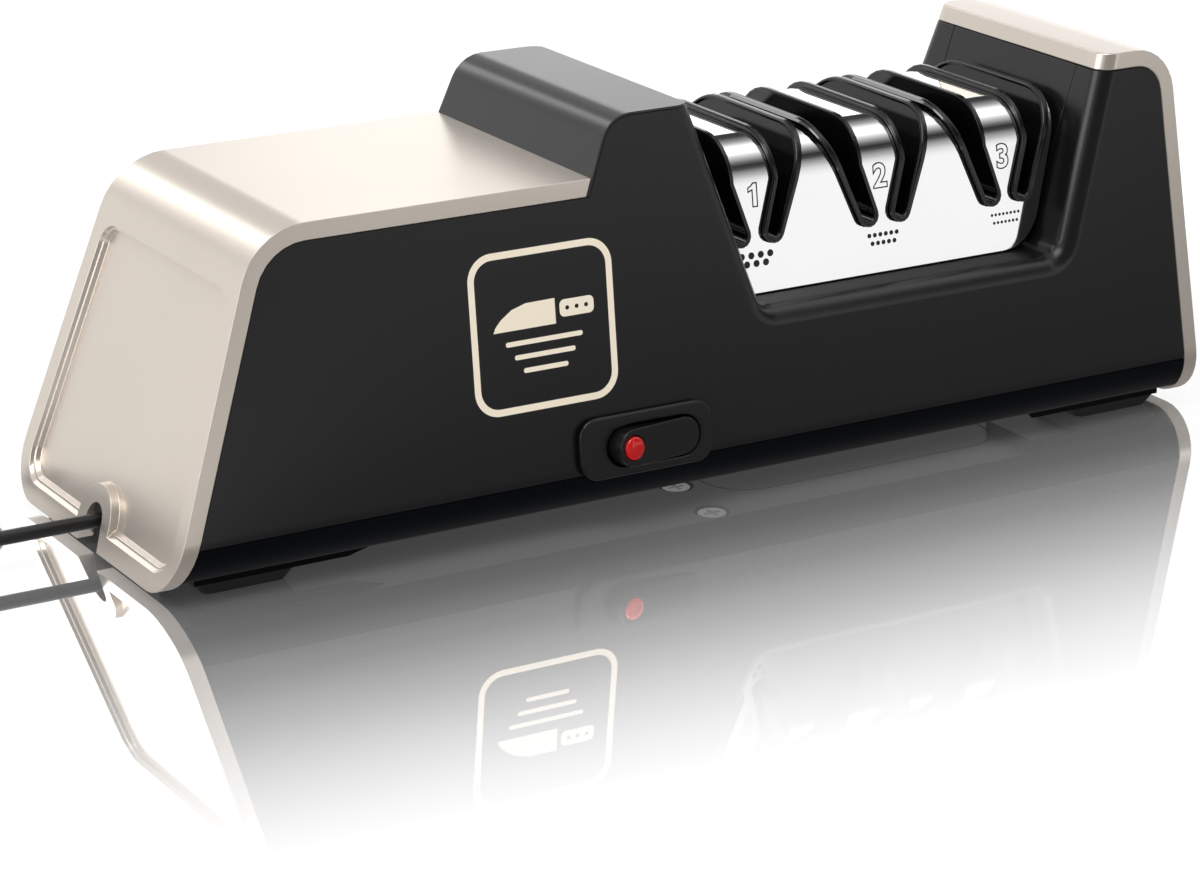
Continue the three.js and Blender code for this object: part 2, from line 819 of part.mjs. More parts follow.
// One of a pair of discs: its grinding face looks away from the stage's middle
function disc(centre, hand) {
  const face = discHalfGap + discThickness;
  const bore = shaftRadius + clearance;
  const web = discHalfGap + discWeb;
  const profile = [
    [bore, discHalfGap],
    [discRadius, discHalfGap],
    [discRadius, face],
    [discRadius - discRim, face],
    [discRadius - discRim, web],
    [discHubRadius, web],
    [discHubRadius, face],
    [bore, face],
    [bore, discHalfGap],
  ];
  return turnedOnShaft(profile.map(([radius, along]) => [radius, centre + hand * along]), 28);
}

function bearing(blockX) {
  return ring(bearingRadius, shaftRadius + clearance, blockX, blockX + bearingWidth);
}

// Pillar that holds a bearing, on a foot screwed to the tray
function bearingBlock(blockX, footFrom, footTo, screwX) {
  const low = trayFloor + wall + clearance;
  const crown = shaftHeight + blockHalfWidth;
  const pillar = alongX(rounded([
    [-blockHalfWidth, low],
    [blockHalfWidth, low],
    [blockHalfWidth, crown, blockHalfWidth],
    [-blockHalfWidth, crown, blockHalfWidth],
  ]), blockX, blockX + bearingWidth);
  const foot = block(footFrom, footTo, -blockFootHalf, blockFootHalf, low, low + blockFootThickness);
  const bores = [-frameScrewY, frameScrewY].map((y) => upright(screwRadius + clearance, screwX, y, 0, farZ));
  return cutAll(join([pillar, foot]), [rod(bearingRadius + clearance, -farX, farX), ...bores]);
}

function motorCan() {
  const bore = rotorRadius + clearance;
  return turnedOnShaft([
    [bore, motorLeft],
    [motorRadius - motorChamfer, motorLeft],
    [motorRadius, motorLeft + motorChamfer],
    [motorRadius, motorRight - motorChamfer],
    [motorRadius - motorChamfer, motorRight],
    [motorBossRadius, motorRight],
    [motorBossRadius, motorRight + motorBossLength],
    [bore, motorRight + motorBossLength],
    [bore, motorLeft],
  ]);
}

function motorBracket() {
  const low = trayFloor + wall + clearance;
  const from = motorRight + clearance;
  const crown = shaftHeight + motorRadius;
  const plate = alongX(rounded([
    [-bracketHalfWidth, low],
    [bracketHalfWidth, low],
    [bracketHalfWidth, crown, motorBossRadius],
    [-bracketHalfWidth, crown, motorBossRadius],
  ]), from, from + bracketThickness);
  const half = bracketHalfWidth;
  const foot = block(from - bracketFootLength, from, -half, half, low, low + bracketThickness);
  return join([plate, foot]).subtract(rod(motorBossRadius + clearance, -farX, 0));
}

function motorSaddle() {
  const low = trayFloor + wall + clearance;
  const half = saddleHalfWidth;
  const cradle = block(saddleLeft, saddleLeft + saddleLength, -half, half, low, shaftHeight - motorRadius / 2);
  return cradle.subtract(rod(motorRadius + clearance, -farX, 0, 48));
}

function coolingFan() {
  const hub = ring(fanHubRadius, rotorRadius + clearance, fanLeft, fanLeft + fanDepth, 18);
  const blades = Array.from({ length: fanBlades }, (_, k) => {
    const length = fanRadius - fanHubRadius + 2 * seam;
    const blade = new THREE.BoxGeometry(fanDepth, fanBladeThickness, length);
    blade.rotateZ(fanBladePitch).translate(0, 0, (fanRadius + fanHubRadius) / 2 - seam);
    blade.rotateX((2 * Math.PI * k) / fanBlades);
    return solidOf(blade.translate(fanLeft + fanDepth / 2, 0, shaftHeight));
  });
  return join([hub, ...blades]);
}

function shaftCoupling() {
  const middle = shaftLeft - clearance;
  const [narrow, wide] = [rotorRadius + clearance, shaftRadius + clearance];
  return turnedOnShaft([
    [narrow, couplingLeft],
    [couplingRadius, couplingLeft],
    [couplingRadius, couplingRight],
    [wide, couplingRight],
    [wide, middle],
    [narrow, middle],
    [narrow, couplingLeft],
  ], 20);
}

// Switch pad with the sleeve that the rocker sits in
function switchBezel() {
  const pad = alongY(rounded([
    [-padHalfLength, -padHalfHeight, padRadius],
    [padHalfLength, -padHalfHeight, padRadius],
    [padHalfLength, padHalfHeight, padRadius],
    [-padHalfLength, padHalfHeight, padRadius],
  ]), -padProud, -clearance);
  const sleeveOutline = stadium(rockerHalfLength, rockerHalfHeight, rockerGap + sleeveWall);
  const sleeve = alongY(sleeveOutline, -padProud / 2, sleeveDepth);
  const hole = alongY(stadium(rockerHalfLength, rockerHalfHeight, rockerGap), -overrun, farY);
  const reach = rockerHalfHeight + rockerPinReach + clearance;
  const pinHole = pivotRod(rockerPinRadius + seam, reach);
  return cutAll(join([pad, sleeve]), [hole, pinHole]);
}

const pivotY = rockerPivotDepth - padProud;

// Rod on the rocker's axis, in the switch frame
function pivotRod(radius, reach) {
  return upright(radius, rockerOffsetX, pivotY, rockerOffsetZ - reach, rockerOffsetZ + reach, 32);
}

// A solid of the switch frame, turned about the rocker's pin
function turnedOnPivot(solid, angle) {
  const turn = new THREE.Matrix4().makeTranslation(rockerOffsetX, pivotY, 0);
  turn.multiply(new THREE.Matrix4().makeRotationZ(angle));
  turn.multiply(new THREE.Matrix4().makeTranslation(-rockerOffsetX, -pivotY, 0));
  return solidOf(geometryOf(solid).applyMatrix4(turn));
}

const rockerSlope = rockerRise / (2 * rockerHalfLength);
const rockerTopY = (x) => -padProud - rockerSlope * (rockerOffsetX + rockerHalfLength - x);
const lensX = rockerOffsetX - rockerHalfLength + lensFromEnd;

// Rocker: a wedge with round ends, cut back where they would meet the sleeve as it tilts
function rocker() {
  const [left, right] = [rockerOffsetX - rockerHalfLength, rockerOffsetX + rockerHalfLength];
  const profile = rounded([
    [left, rockerTopY(left)],
    [right, rockerTopY(right)],
    [right, rockerDepth / 2],
    [right - rockerDepth, rockerDepth],
    [left + rockerDepth, rockerDepth],
    [left, rockerDepth / 2],
  ]);
  const wedge = alongZ(profile, rockerOffsetZ - rockerHalfHeight, rockerOffsetZ + rockerHalfHeight);
  const plan = alongY(stadium(rockerHalfLength, rockerHalfHeight), -farY, farY);
  const reachIn = rockerGap - clearance / 2;
  const sleeveRoom = alongY(stadium(rockerHalfLength, rockerHalfHeight, reachIn), -farY, farY);
  const swings = travelShares.map((share) => turnedOnPivot(sleeveRoom, rockerTravel * share));
  const pin = pivotRod(rockerPinRadius, rockerHalfHeight + rockerPinReach);
  const pocket = onRocker([[0, -lensDepth - clearance], [lensRadius + seam, -lensDepth - clearance],
    [lensRadius + seam, overrun], [0, overrun]]);
  return swings.reduce((form, room) => form.intersect(room), wedge.intersect(plan)).add(pin).subtract(pocket);
}

// A turned profile of [radius, height over the rocker's face], standing where the lens sits
function onRocker(profile) {
  const points = profile.map(([radius, height]) => new THREE.Vector2(radius, height));
  const lathe = new THREE.LatheGeometry(points, 20).rotateX(Math.PI).rotateZ(Math.atan(rockerSlope));
  return solidOf(lathe.translate(lensX, rockerTopY(lensX), rockerOffsetZ));
}

function indicatorLens() {
  const dome = new THREE.QuadraticBezierCurve(
    new THREE.Vector2(lensRadius, 0),
    new THREE.Vector2(lensRadius * lensCrownShare, lensRise),
    new THREE.Vector2(0, lensRise),
  ).getPoints(4).map((point) => [point.x, point.y]);
  return onRocker([[0, -lensDepth], [lensRadius, -lensDepth], ...dome]);
}

function switchBody() {
  const from = sleeveDepth + clearance;
  const to = from + switchBodyDepth;
  const inset = -clearance;
  const housing = alongY(rounded([
    [rockerOffsetX - rockerHalfLength - inset, rockerOffsetZ - rockerHalfHeight],
    [rockerOffsetX + rockerHalfLength + inset, rockerOffsetZ - rockerHalfHeight],
    [rockerOffsetX + rockerHalfLength + inset, rockerOffsetZ + rockerHalfHeight],
    [rockerOffsetX - rockerHalfLength - inset, rockerOffsetZ + rockerHalfHeight],
  ]), from, to);
  const terminals = [-1, 0, 1].map((place) => {
    const x = rockerOffsetX + (place * rockerHalfLength) / 2;
    return block(
      x - terminalThickness / 2,
      x + terminalThickness / 2,
      to - terminalThickness,
      to + terminalLength,
      rockerOffsetZ - terminalHalfWidth,
      rockerOffsetZ + terminalHalfWidth,
    );
  });
  return join([housing, ...terminals]);
}

const boardY = sleeveDepth + switchBodyDepth + terminalLength + boardGap - halfWidth(switchHeight);

function circuitBoard() {
  const low = trayFloor + wall + clearance;
  return block(boardLeft, boardRight, boardY, boardY + boardThickness, low, low + boardHeight);
}

function capacitor() {
  const from = boardY + boardThickness + clearance;
  const points = [[0, 0], [1, 0], [1, 1], [0, 1]].map(([radius, along]) => (
    new THREE.Vector2(radius * capacitorRadius, along * capacitorLength)
  ));
  const lathe = new THREE.LatheGeometry(points, 24);
  return solidOf(lathe.translate(capacitorX, from, capacitorHeight));
}

// Strain relief in the cord notch, with a flange behind the end plate
const reliefX = leftX(cordHeight) + reliefSetBack;

function strainRelief() {
  const back = leftInnerX(0) + clearance;
  const plate = acrossBody(rounded([
    [back, 0],
    [leftInnerX(farZ) + clearance, farZ],
    [leftInnerX(farZ) + clearance + reliefFlangeThickness, farZ],
    [back + reliefFlangeThickness, 0],
  ]));
  const flange = alongX(arch(reliefFlangeRadius, reliefFlangeRadius, trayFloor), -farX, 0).intersect(plate);
  const bungArch = arch(notchRadius - clearance, notchFootHalf - clearance, skirtBottom + seam);
  const inFront = acrossBody(rounded([
    [leftX(0), 0],
    [leftX(farZ), farZ],
    [leftInnerX(farZ) + clearance + seam, farZ],
    [back + seam, 0],
  ]));
  const bung = alongX(bungArch, reliefX, 0).intersect(inFront);
  return join([flange, bung]);
}

const cordStart = reliefX - clearance;

// Route of the cord from the housing to the coil, laid by hand
const leadPoints = [
  [cordStart, 0, 8],
  [-152, 0, 8],
  [-160, 0, 8],
  [-168, 0, 7.9],
  [-176, 0, 7],
  [-184, 0, 5.2],
  [-192, 0, 3.3],
  [-200, 0, 2.1],
  [-208, 0, 1.75],
  [-216, 0, 1.75],
  [-224, 0, 1.75],
  [-230, 0, 1.75],
  [coilX + 2 * cordRadius + clearance, 0, 1.75],
];

const coilTop = cordRadius + layerRise * (coilLayers - 1);
const tailY = coilY + coilOuterRadius;
const plugX = coilX + plugReach;

// Route of the cord from the coil down to the plug, laid by hand
const tailPoints = [
  [coilX + 2 * cordRadius + clearance, tailY, coilTop],
  [-232, tailY, coilTop],
  [-226, tailY, 13.6],
  [-219, tailY, 11.6],
  [-211, tailY, 8.7],
  [-206, tailY, 7.6],
  [plugX - clearance, tailY, 7.5],
];

function circle(radius, sides) {
  return Array.from({ length: sides }, (_, k) => {
    const angle = (2 * Math.PI * (k + 0.5)) / sides;
    return new THREE.Vector2(radius * Math.cos(angle), radius * Math.sin(angle));
  });
}

function cordStretch(points, steps) {
  const path = new THREE.CatmullRomCurve3(points.map((point) => new THREE.Vector3(...point)));
  const shape = new THREE.Shape(circle(cordRadius, cordSides));
  return solidOf(new THREE.ExtrudeGeometry(shape, { steps, extrudePath: path, bevelEnabled: false }));
}

// Middle line of the coil: it spirals in and out by turns and climbs a layer at each reversal
function coilPoint(turns) {
  const legs = turns / turnsPerLayer;
  const leg = Math.min(Math.floor(legs), coilLayers - 1);
  const part = legs - leg;
  const inward = leg % 2 === 0 ? part : 1 - part;
  const radius = coilOuterRadius - turnPitch * turnsPerLayer * inward;
  const nearest = THREE.MathUtils.clamp(Math.round(legs), 1, coilLayers - 1);
  const beyond = (turns - nearest * turnsPerLayer) * 4;
  const climb = THREE.MathUtils.clamp((beyond + 1) / 2, 0, 1);
  const height = cordRadius + layerRise * (nearest - 1 + THREE.MathUtils.smoothstep(climb, 0, 1));
  const angle = -Math.PI / 2 - 2 * Math.PI * turns;
  return new THREE.Vector3(coilX + radius * Math.cos(angle), coilY + radius * Math.sin(angle), height);
}

function coilLine() {
  const turns = coilLayers * turnsPerLayer;
  const count = Math.round(turns * turnSteps);
  const points = Array.from({ length: count + 1 }, (_, k) => coilPoint((turns * k) / count));
  const stub = 2 * cordRadius;
  points.unshift(points[0].clone().add(new THREE.Vector3(stub, 0, 0)));
  points.push(points.at(-1).clone().add(new THREE.Vector3(stub, 0, 0)));
  return points;
}

// Least gap between stretches of the coil that aren't neighbours along the cord
function leastGap(points) {
  let least = Infinity;
  points.forEach((point, i) => {
    for (let j = i + turnSteps / 2; j < points.length; j += 1) {
      least = Math.min(least, point.distanceTo(points[j]));
    }
  });
  return least - 2 * cordRadius;
}

function cordCoil() {
  const points = coilLine();
  const gap = leastGap(points).toFixed(2);
  console.log(`cord coil: ${coilLayers * turnsPerLayer} turns, least gap to itself ${gap} mm`);
  const section = circle(cordRadius, coilSides);
  const rings = points.map(() => section);
  const place = (corner, k) => {
    const along = points[Math.min(k + 1, points.length - 1)].clone().sub(points[Math.max(k - 1, 0)]);
    along.normalize();
    const sideways = new THREE.Vector3().crossVectors(unitZ, along).normalize();
    const upward = new THREE.Vector3().crossVectors(along, sideways);
    return points[k].clone().addScaledVector(sideways, corner.x).addScaledVector(upward, corner.y);
  };
  return lofted(rings, place);
}

// Plug body: round neck swelling into a flat-sided grip
function plugBody() {
  const outlines = plugSwellShares.map((share) => {
    const half = THREE.MathUtils.lerp(plugNeckRadius, plugHalfWidth, share);
    const thick = THREE.MathUtils.lerp(plugNeckRadius, plugHalfThickness, share);
    return rounded([
      [-half, -thick, plugEdgeRadius, cornerSteps],
      [half, -thick, plugEdgeRadius, cornerSteps],
      [half, thick, plugEdgeRadius, cornerSteps],
      [-half, thick, plugEdgeRadius, cornerSteps],
    ]);
  });
  const place = (point, k) => (
    new THREE.Vector3(plugX + plugLength * plugStationShares[k], tailY + point.x, plugHalfThickness + point.y)
  );
  return lofted(outlines, place);
}

function plugBlade(side) {
  const y = tailY + (side * bladeSpacing) / 2;
  const [from, to] = [plugX + plugLength + clearance, plugX + plugLength + bladeLength];
  const outline = rounded([
    [from, plugHalfThickness - bladeHalfWidth],
    [to, plugHalfThickness - bladeHalfWidth, bladeTipRadius],
    [to, plugHalfThickness + bladeHalfWidth, bladeTipRadius],
    [from, plugHalfThickness + bladeHalfWidth],
  ]);
  return alongY(outline, y - bladeThickness / 2, y + bladeThickness / 2);
}

const finishes = {
  champagne: { color: 0xd8cfc4, roughness: 0.32, metalness: 0.6 },
  black: { color: 0x1c1c1d, roughness: 0.45, metalness: 0 },
  gloss: { color: 0x0c0c0d, roughness: 0.15, metalness: 0 },
  tray: { color: 0x0b0e14, roughness: 0.5, metalness: 0 },
  chrome: { color: 0xf2f2f4, roughness: 0.04, metalness: 1 },
  steel: { color: 0xa8abae, roughness: 0.35, metalness: 1 },
  zinc: { color: 0x9a9ca0, roughness: 0.45, metalness: 0.9 },
  abrasive: { color: 0x6e6a62, roughness: 0.9, metalness: 0.2 },
  resin: { color: 0xc9b48a, roughness: 0.7, metalness: 0 },
  rubber: { color: 0x101012, roughness: 0.85, metalness: 0 },
  red: { color: 0xd02a26, roughness: 0.2, metalness: 0 },
  board: { color: 0x1d5a36, roughness: 0.6, metalness: 0 },
  brass: { color: 0xc8a24a, roughness: 0.35, metalness: 1 },
};

const sharpener = new THREE.Group();
const housing = new THREE.Group();
const cordSet = new THREE.Group();
sharpener.add(housing, cordSet);
housing.add(switchFrame);

function put(name, solid, finish, parent = housing) {
  const mesh = new THREE.Mesh(geometryOf(solid), new THREE.MeshStandardMaterial(finishes[finish]));
  mesh.name = name;
  parent.add(mesh);
}

put('left_cover', leftCover(), 'champagne');
put('right_cover', rightCover(), 'champagne');
put('front_panel', frontPanel(), 'black');
put('rear_panel', sidePanel(1), 'black');
put('hump_cover', humpCover(), 'black');
put('recess_wall', recessWall(), 'gloss');
put('base_tray', baseTray(), 'tray');
put('clean_out_cover', cleanOutCover(), 'tray');
put('foot_front_left', rubberFoot(leftFoot, -1), 'rubber');
put('foot_rear_left', rubberFoot(leftFoot, 1), 'rubber');
put('foot_front_right', rubberFoot(rightFoot, -1), 'rubber');
put('foot_rear_right', rubberFoot(rightFoot, 1), 'rubber');
screwPlaces.forEach((place, k) => put(`base_screw_${k + 1}`, screw(place), 'zinc'));

put('bright_cover', brightCover(), 'chrome');
put('slot_carrier', slotCarrier(), 'gloss');
slots.forEach((slot, k) => {
  const name = `slot_guide_${Math.floor(k / 2) + 1}_${slot.hand < 0 ? 'left' : 'right'}`;
  put(name, slotGuide(slot), 'gloss');
});

const grits = ['coarse', 'fine', 'polish'];
stageCentres.forEach((centre, k) => {
  const finish = grits[k] === 'polish' ? 'resin' : 'abrasive';
  put(`${grits[k]}_disc_left`, disc(centre, -1), finish);
  put(`${grits[k]}_disc_right`, disc(centre, 1), finish);
});
put('drive_shaft', rod(shaftRadius, shaftLeft, shaftRight), 'steel');
put('left_bearing', bearing(leftBlockX), 'steel');
put('right_bearing', bearing(rightBlockX), 'steel');
put('left_bearing_block', bearingBlock(leftBlockX, leftBlockX, leftBlockFootEnd, frameScrewX), 'zinc');
put('right_bearing_block', bearingBlock(rightBlockX, rightBlockX, rightBlockFootEnd, rearScrewX), 'zinc');

put('motor_can', motorCan(), 'steel');
put('motor_bracket', motorBracket(), 'zinc');
put('motor_saddle', motorSaddle(), 'black');
put('rotor_shaft', rod(rotorRadius, rotorLeft, shaftLeft - 2 * clearance), 'steel');
put('cooling_fan', coolingFan(), 'black');
put('shaft_coupling', shaftCoupling(), 'black');

put('switch_bezel', switchBezel(), 'black', switchFrame);
put('rocker', rocker(), 'black', switchFrame);
put('indicator_lens', indicatorLens(), 'red', switchFrame);
put('switch_body', switchBody(), 'black', switchFrame);
put('circuit_board', circuitBoard(), 'board');
put('capacitor', capacitor(), 'tray');

put('strain_relief', strainRelief(), 'rubber');
put('cord_lead', cordStretch(leadPoints, 14), 'rubber', cordSet);
put('cord_coil', cordCoil(), 'rubber', cordSet);
put('cord_tail', cordStretch(tailPoints, 8), 'rubber', cordSet);
put('plug_body', plugBody(), 'rubber', cordSet);
put('plug_blade_1', plugBlade(-1), 'brass', cordSet);
put('plug_blade_2', plugBlade(1), 'brass', cordSet);

// The switch stands out in front only, so the middle of the footprint lies ahead of the shaft
sharpener.updateMatrixWorld(true);
const footprint = new THREE.Box3().setFromObject(housing, true);
sharpener.position.y = -(footprint.min.y + footprint.max.y) / 2;

export default sharpener;
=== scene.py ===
"""Looks of an electric three-stage knife sharpener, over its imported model.

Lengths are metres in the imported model's frame: +X runs along the housing away from the cord,
-Y is the switch side and +Z is up. Local helpers take millimetres where their names end in mm.
"""

from __future__ import annotations

import logging
import math
from collections.abc import Iterable, Sequence
from dataclasses import dataclass, field
from enum import Enum

import bmesh
import bpy
from bpy.types import Curve, Mesh, Node, NodeInputs, NodeOutputs, NodeSocket, NodeTree, Object
from mathutils import Matrix, Vector

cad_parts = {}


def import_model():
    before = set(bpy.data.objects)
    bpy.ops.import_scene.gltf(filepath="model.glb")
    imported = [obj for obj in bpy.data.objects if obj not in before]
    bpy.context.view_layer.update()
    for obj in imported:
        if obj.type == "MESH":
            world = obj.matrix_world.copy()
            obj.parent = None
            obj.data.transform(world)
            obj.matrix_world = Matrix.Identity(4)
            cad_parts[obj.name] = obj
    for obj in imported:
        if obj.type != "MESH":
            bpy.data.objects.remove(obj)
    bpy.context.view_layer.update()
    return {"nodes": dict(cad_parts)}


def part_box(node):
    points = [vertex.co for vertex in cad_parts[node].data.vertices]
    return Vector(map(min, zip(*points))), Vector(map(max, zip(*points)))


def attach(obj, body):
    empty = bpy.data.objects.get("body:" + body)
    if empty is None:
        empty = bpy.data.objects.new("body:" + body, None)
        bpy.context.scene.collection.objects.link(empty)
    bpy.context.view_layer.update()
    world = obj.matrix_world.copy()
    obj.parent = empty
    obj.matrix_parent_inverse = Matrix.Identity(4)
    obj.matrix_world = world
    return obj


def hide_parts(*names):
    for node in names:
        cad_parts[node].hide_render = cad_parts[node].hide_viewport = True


log = logging.getLogger("knife_sharpener")

MM = 0.001
SHIFT = 0.0030153  # place in Y of the housing's middle plane
SIDE_LEAN = 0.12  # how far the front panel goes back for each metre up
HALF_WIDTH = 0.0485  # of the housing, at the floor
COIL_TAIL = 0.0472125  # from the middle plane to where the cord leaves its coil for the plug
Point = tuple[float, float, float]
Colour = tuple[float, float, float]


def srgb(red: int, green: int, blue: int) -> Colour:
    """Turns a display colour into linear light.

    Args:
        red: Display value of the red channel, from 0 to 255.
        green: The same for the green channel.
        blue: The same for the blue channel.

    Returns:
        The colour in linear light.
    """
    def one(value: int) -> float:
        """One channel in linear light."""
        share = value / 255
        return share / 12.92 if share <= 0.04045 else ((share + 0.055) / 1.055) ** 2.4
    return one(red), one(green), one(blue)


# Shader groups that several finishes share


class Effect(Enum):
    """Surface effects that are built once as node groups."""

    GRAIN = "moulded_grain"
    DRIFT = "colour_drift"
    BRUSH = "brushed_lines"
    GRIT = "abrasive_grit"


@dataclass(frozen=True)
class Socket:
    """One named input or output of a shader group."""

    name: str
    kind: str
    default: float | Colour | None = None
    output: bool = False


class NodeSheet:
    """A node tree with short calls to add and join nodes."""

    def __init__(self, tree: NodeTree) -> None:
        """Keeps the tree that nodes are added to."""
        self.tree = tree

    def add(self, kind: str, **inputs: object) -> Node:
        """Adds a node and sets or joins its inputs.

        Args:
            kind: Type name without the ShaderNode prefix.
            **inputs: Socket names with underscores for spaces, or an underscore and the socket's number.
                A socket is joined and a value is set. A name that starts with set_ is an attribute of
                the node.

        Returns:
            The new node.
        """
        node = self.tree.nodes.new("ShaderNode" + kind)
        for name, value in inputs.items():
            if name.startswith("set_"):
                setattr(node, name.removeprefix("set_"), value)
        for name, value in inputs.items():
            if not name.startswith("set_"):
                self.feed(node.inputs[int(name[1:]) if name.startswith("_") else name.replace("_", " ")], value)
        return node

    def feed(self, socket: NodeSocket, value: object) -> None:
        """Joins a socket to another one, or sets its own value.

        Args:
            socket: The input.
            value: The output that is joined to it, or its value.
        """
        if isinstance(value, NodeSocket):
            self.tree.links.new(value, socket)
        elif isinstance(value, tuple) and len(value) == 3 and socket.type == "RGBA":
            socket.default_value = (*value, 1.0)
        else:
            socket.default_value = value

    def calc(self, operation: str, *values: object) -> NodeSocket:
        """Result of a calculation with one to three values."""
        inputs = {f"_{k}": value for k, value in enumerate(values)}
        return self.add("Math", set_operation=operation, **inputs).outputs[0]

    def span(self, value: NodeSocket, ends: Sequence[float], low: float = 0.0, high: float = 1.0) -> NodeSocket:
        """Level that goes evenly from low to high while a value goes from one end to the other."""
        return self.add("MapRange", Value=value, From_Min=ends[0], From_Max=ends[1], To_Min=low,
                        To_Max=high).outputs[0]

    def mix(self, share: object, first: object, second: object) -> NodeSocket:
        """Number between two others."""
        return self.add("Mix", set_data_type="FLOAT", _0=share, _2=first, _3=second).outputs[0]

    def tint(self, share: object, first: object, second: object) -> NodeSocket:
        """Colour between two others."""
        return self.add("Mix", set_data_type="RGBA", _0=share, _6=first, _7=second).outputs[2]

    def blend(self, share: object, first: Node, second: Node) -> Node:
        """Shader between two others."""
        return self.add("MixShader", _0=share, _1=first.outputs[0], _2=second.outputs[0])

    def effect(self, effect: Effect, **inputs: object) -> Node:
        """Places a shared shader group with this material's own values.

        Args:
            effect: The effect that the group is for.
            **inputs: The group's inputs by name, with underscores for spaces.

        Returns:
            The group's node.
        """
        node = self.tree.nodes.new("ShaderNodeGroup")
        node.node_tree = bpy.data.node_groups[effect.value]
        for name, value in inputs.items():
            self.feed(node.inputs[name.replace("_", " ")], value)
        return node


class EffectShelf:
    """Builds the shader groups that the finishes place."""

    @staticmethod
    def start(effect: Effect, sockets: Iterable[Socket]) -> tuple[NodeSheet, NodeOutputs, NodeInputs]:
        """Makes an empty group.

        Args:
            effect: The effect that the group is for.
            sockets: Its inputs and outputs.

        Returns:
            The group's sheet, what brings its inputs and what takes its outputs.
        """
        tree = bpy.data.node_groups.new(effect.value, "ShaderNodeTree")
        for socket in sockets:
            made = tree.interface.new_socket(
                name=socket.name,
                in_out="OUTPUT" if socket.output else "INPUT",
                socket_type="NodeSocket" + socket.kind,
            )
            if socket.default is not None:
                made.default_value = (*socket.default, 1.0) if isinstance(socket.default, tuple) else socket.default
        return NodeSheet(tree), tree.nodes.new("NodeGroupInput").outputs, tree.nodes.new("NodeGroupOutput").inputs

    def grain(self) -> None:
        """Fine texture of a moulded or painted face: a height and a roughness that wander."""
        sheet, ins, outs = self.start(Effect.GRAIN, [
            Socket("Scale", "Float", 900.0),
            Socket("Roughness", "Float", 0.4),
            Socket("Spread", "Float", 0.08),
            Socket("Height", "Float", output=True),
            Socket("Roughness", "Float", output=True),
        ])
        place = sheet.add("TexCoord").outputs["Object"]
        fine = sheet.add("TexNoise", Vector=place, Scale=ins["Scale"], Detail=3.0)
        broad = sheet.add("TexNoise", Vector=place, Scale=24.0, Detail=4.0)
        centred = sheet.calc("SUBTRACT", broad.outputs["Fac"], 0.5)
        sheet.feed(outs["Height"], fine.outputs["Fac"])
        sheet.feed(outs["Roughness"], sheet.calc("MULTIPLY_ADD", centred, ins["Spread"], ins["Roughness"]))

    def drift(self) -> None:
        """Slow change of colour over a face."""
        sheet, ins, outs = self.start(Effect.DRIFT, [
            Socket("Colour", "Color", (0.5, 0.5, 0.5)),
            Socket("Second", "Color", (0.4, 0.4, 0.4)),
            Socket("Scale", "Float", 30.0),
            Socket("Colour", "Color", output=True),
        ])
        place = sheet.add("TexCoord").outputs["Object"]
        cloud = sheet.add("TexNoise", Vector=place, Scale=ins["Scale"], Detail=5.0)
        share = sheet.span(cloud.outputs["Fac"], (0.2, 0.8))
        sheet.feed(outs["Colour"], sheet.tint(share, ins["Colour"], ins["Second"]))

    def brush(self) -> None:
        """Fine straight lines left by brushing or turning, drawn long along one axis."""
        stretches = [f"Stretch {axis}" for axis in "XYZ"]
        sheet, ins, outs = self.start(Effect.BRUSH, [
            *(Socket(name, "Float", 1.0) for name in stretches),
            Socket("Scale", "Float", 2000.0),
            Socket("Height", "Float", output=True),
        ])
        place = sheet.add("TexCoord").outputs["Object"]
        stretch = sheet.add("CombineXYZ", **{name[-1]: ins[name] for name in stretches})
        along = sheet.add("VectorMath", set_operation="MULTIPLY", _0=place, _1=stretch.outputs[0])
        drawn = sheet.add("TexNoise", Vector=along.outputs[0], Scale=ins["Scale"], Detail=2.0)
        sheet.feed(outs["Height"], drawn.outputs["Fac"])

    def grit(self) -> None:
        """Bonded grains: a bumpy height and sparkling specks."""
        sheet, ins, outs = self.start(Effect.GRIT, [
            Socket("Colour", "Color", (0.3, 0.3, 0.3)),
            Socket("Grain", "Color", (0.7, 0.7, 0.7)),
            Socket("Scale", "Float", 2500.0),
            Socket("Colour", "Color", output=True),
            Socket("Height", "Float", output=True),
        ])
        place = sheet.add("TexCoord").outputs["Object"]
        distance = sheet.add("TexVoronoi", Vector=place, Scale=ins["Scale"]).outputs["Distance"]
        specks = sheet.span(distance, (0.15, 0.45), 1.0, 0.0)
        sheet.feed(outs["Colour"], sheet.tint(specks, ins["Colour"], ins["Grain"]))
        sheet.feed(outs["Height"], distance)

    def build(self) -> None:
        """Builds every group."""
        for effect in (self.grain, self.drift, self.brush, self.grit):
            effect()


# Finishes


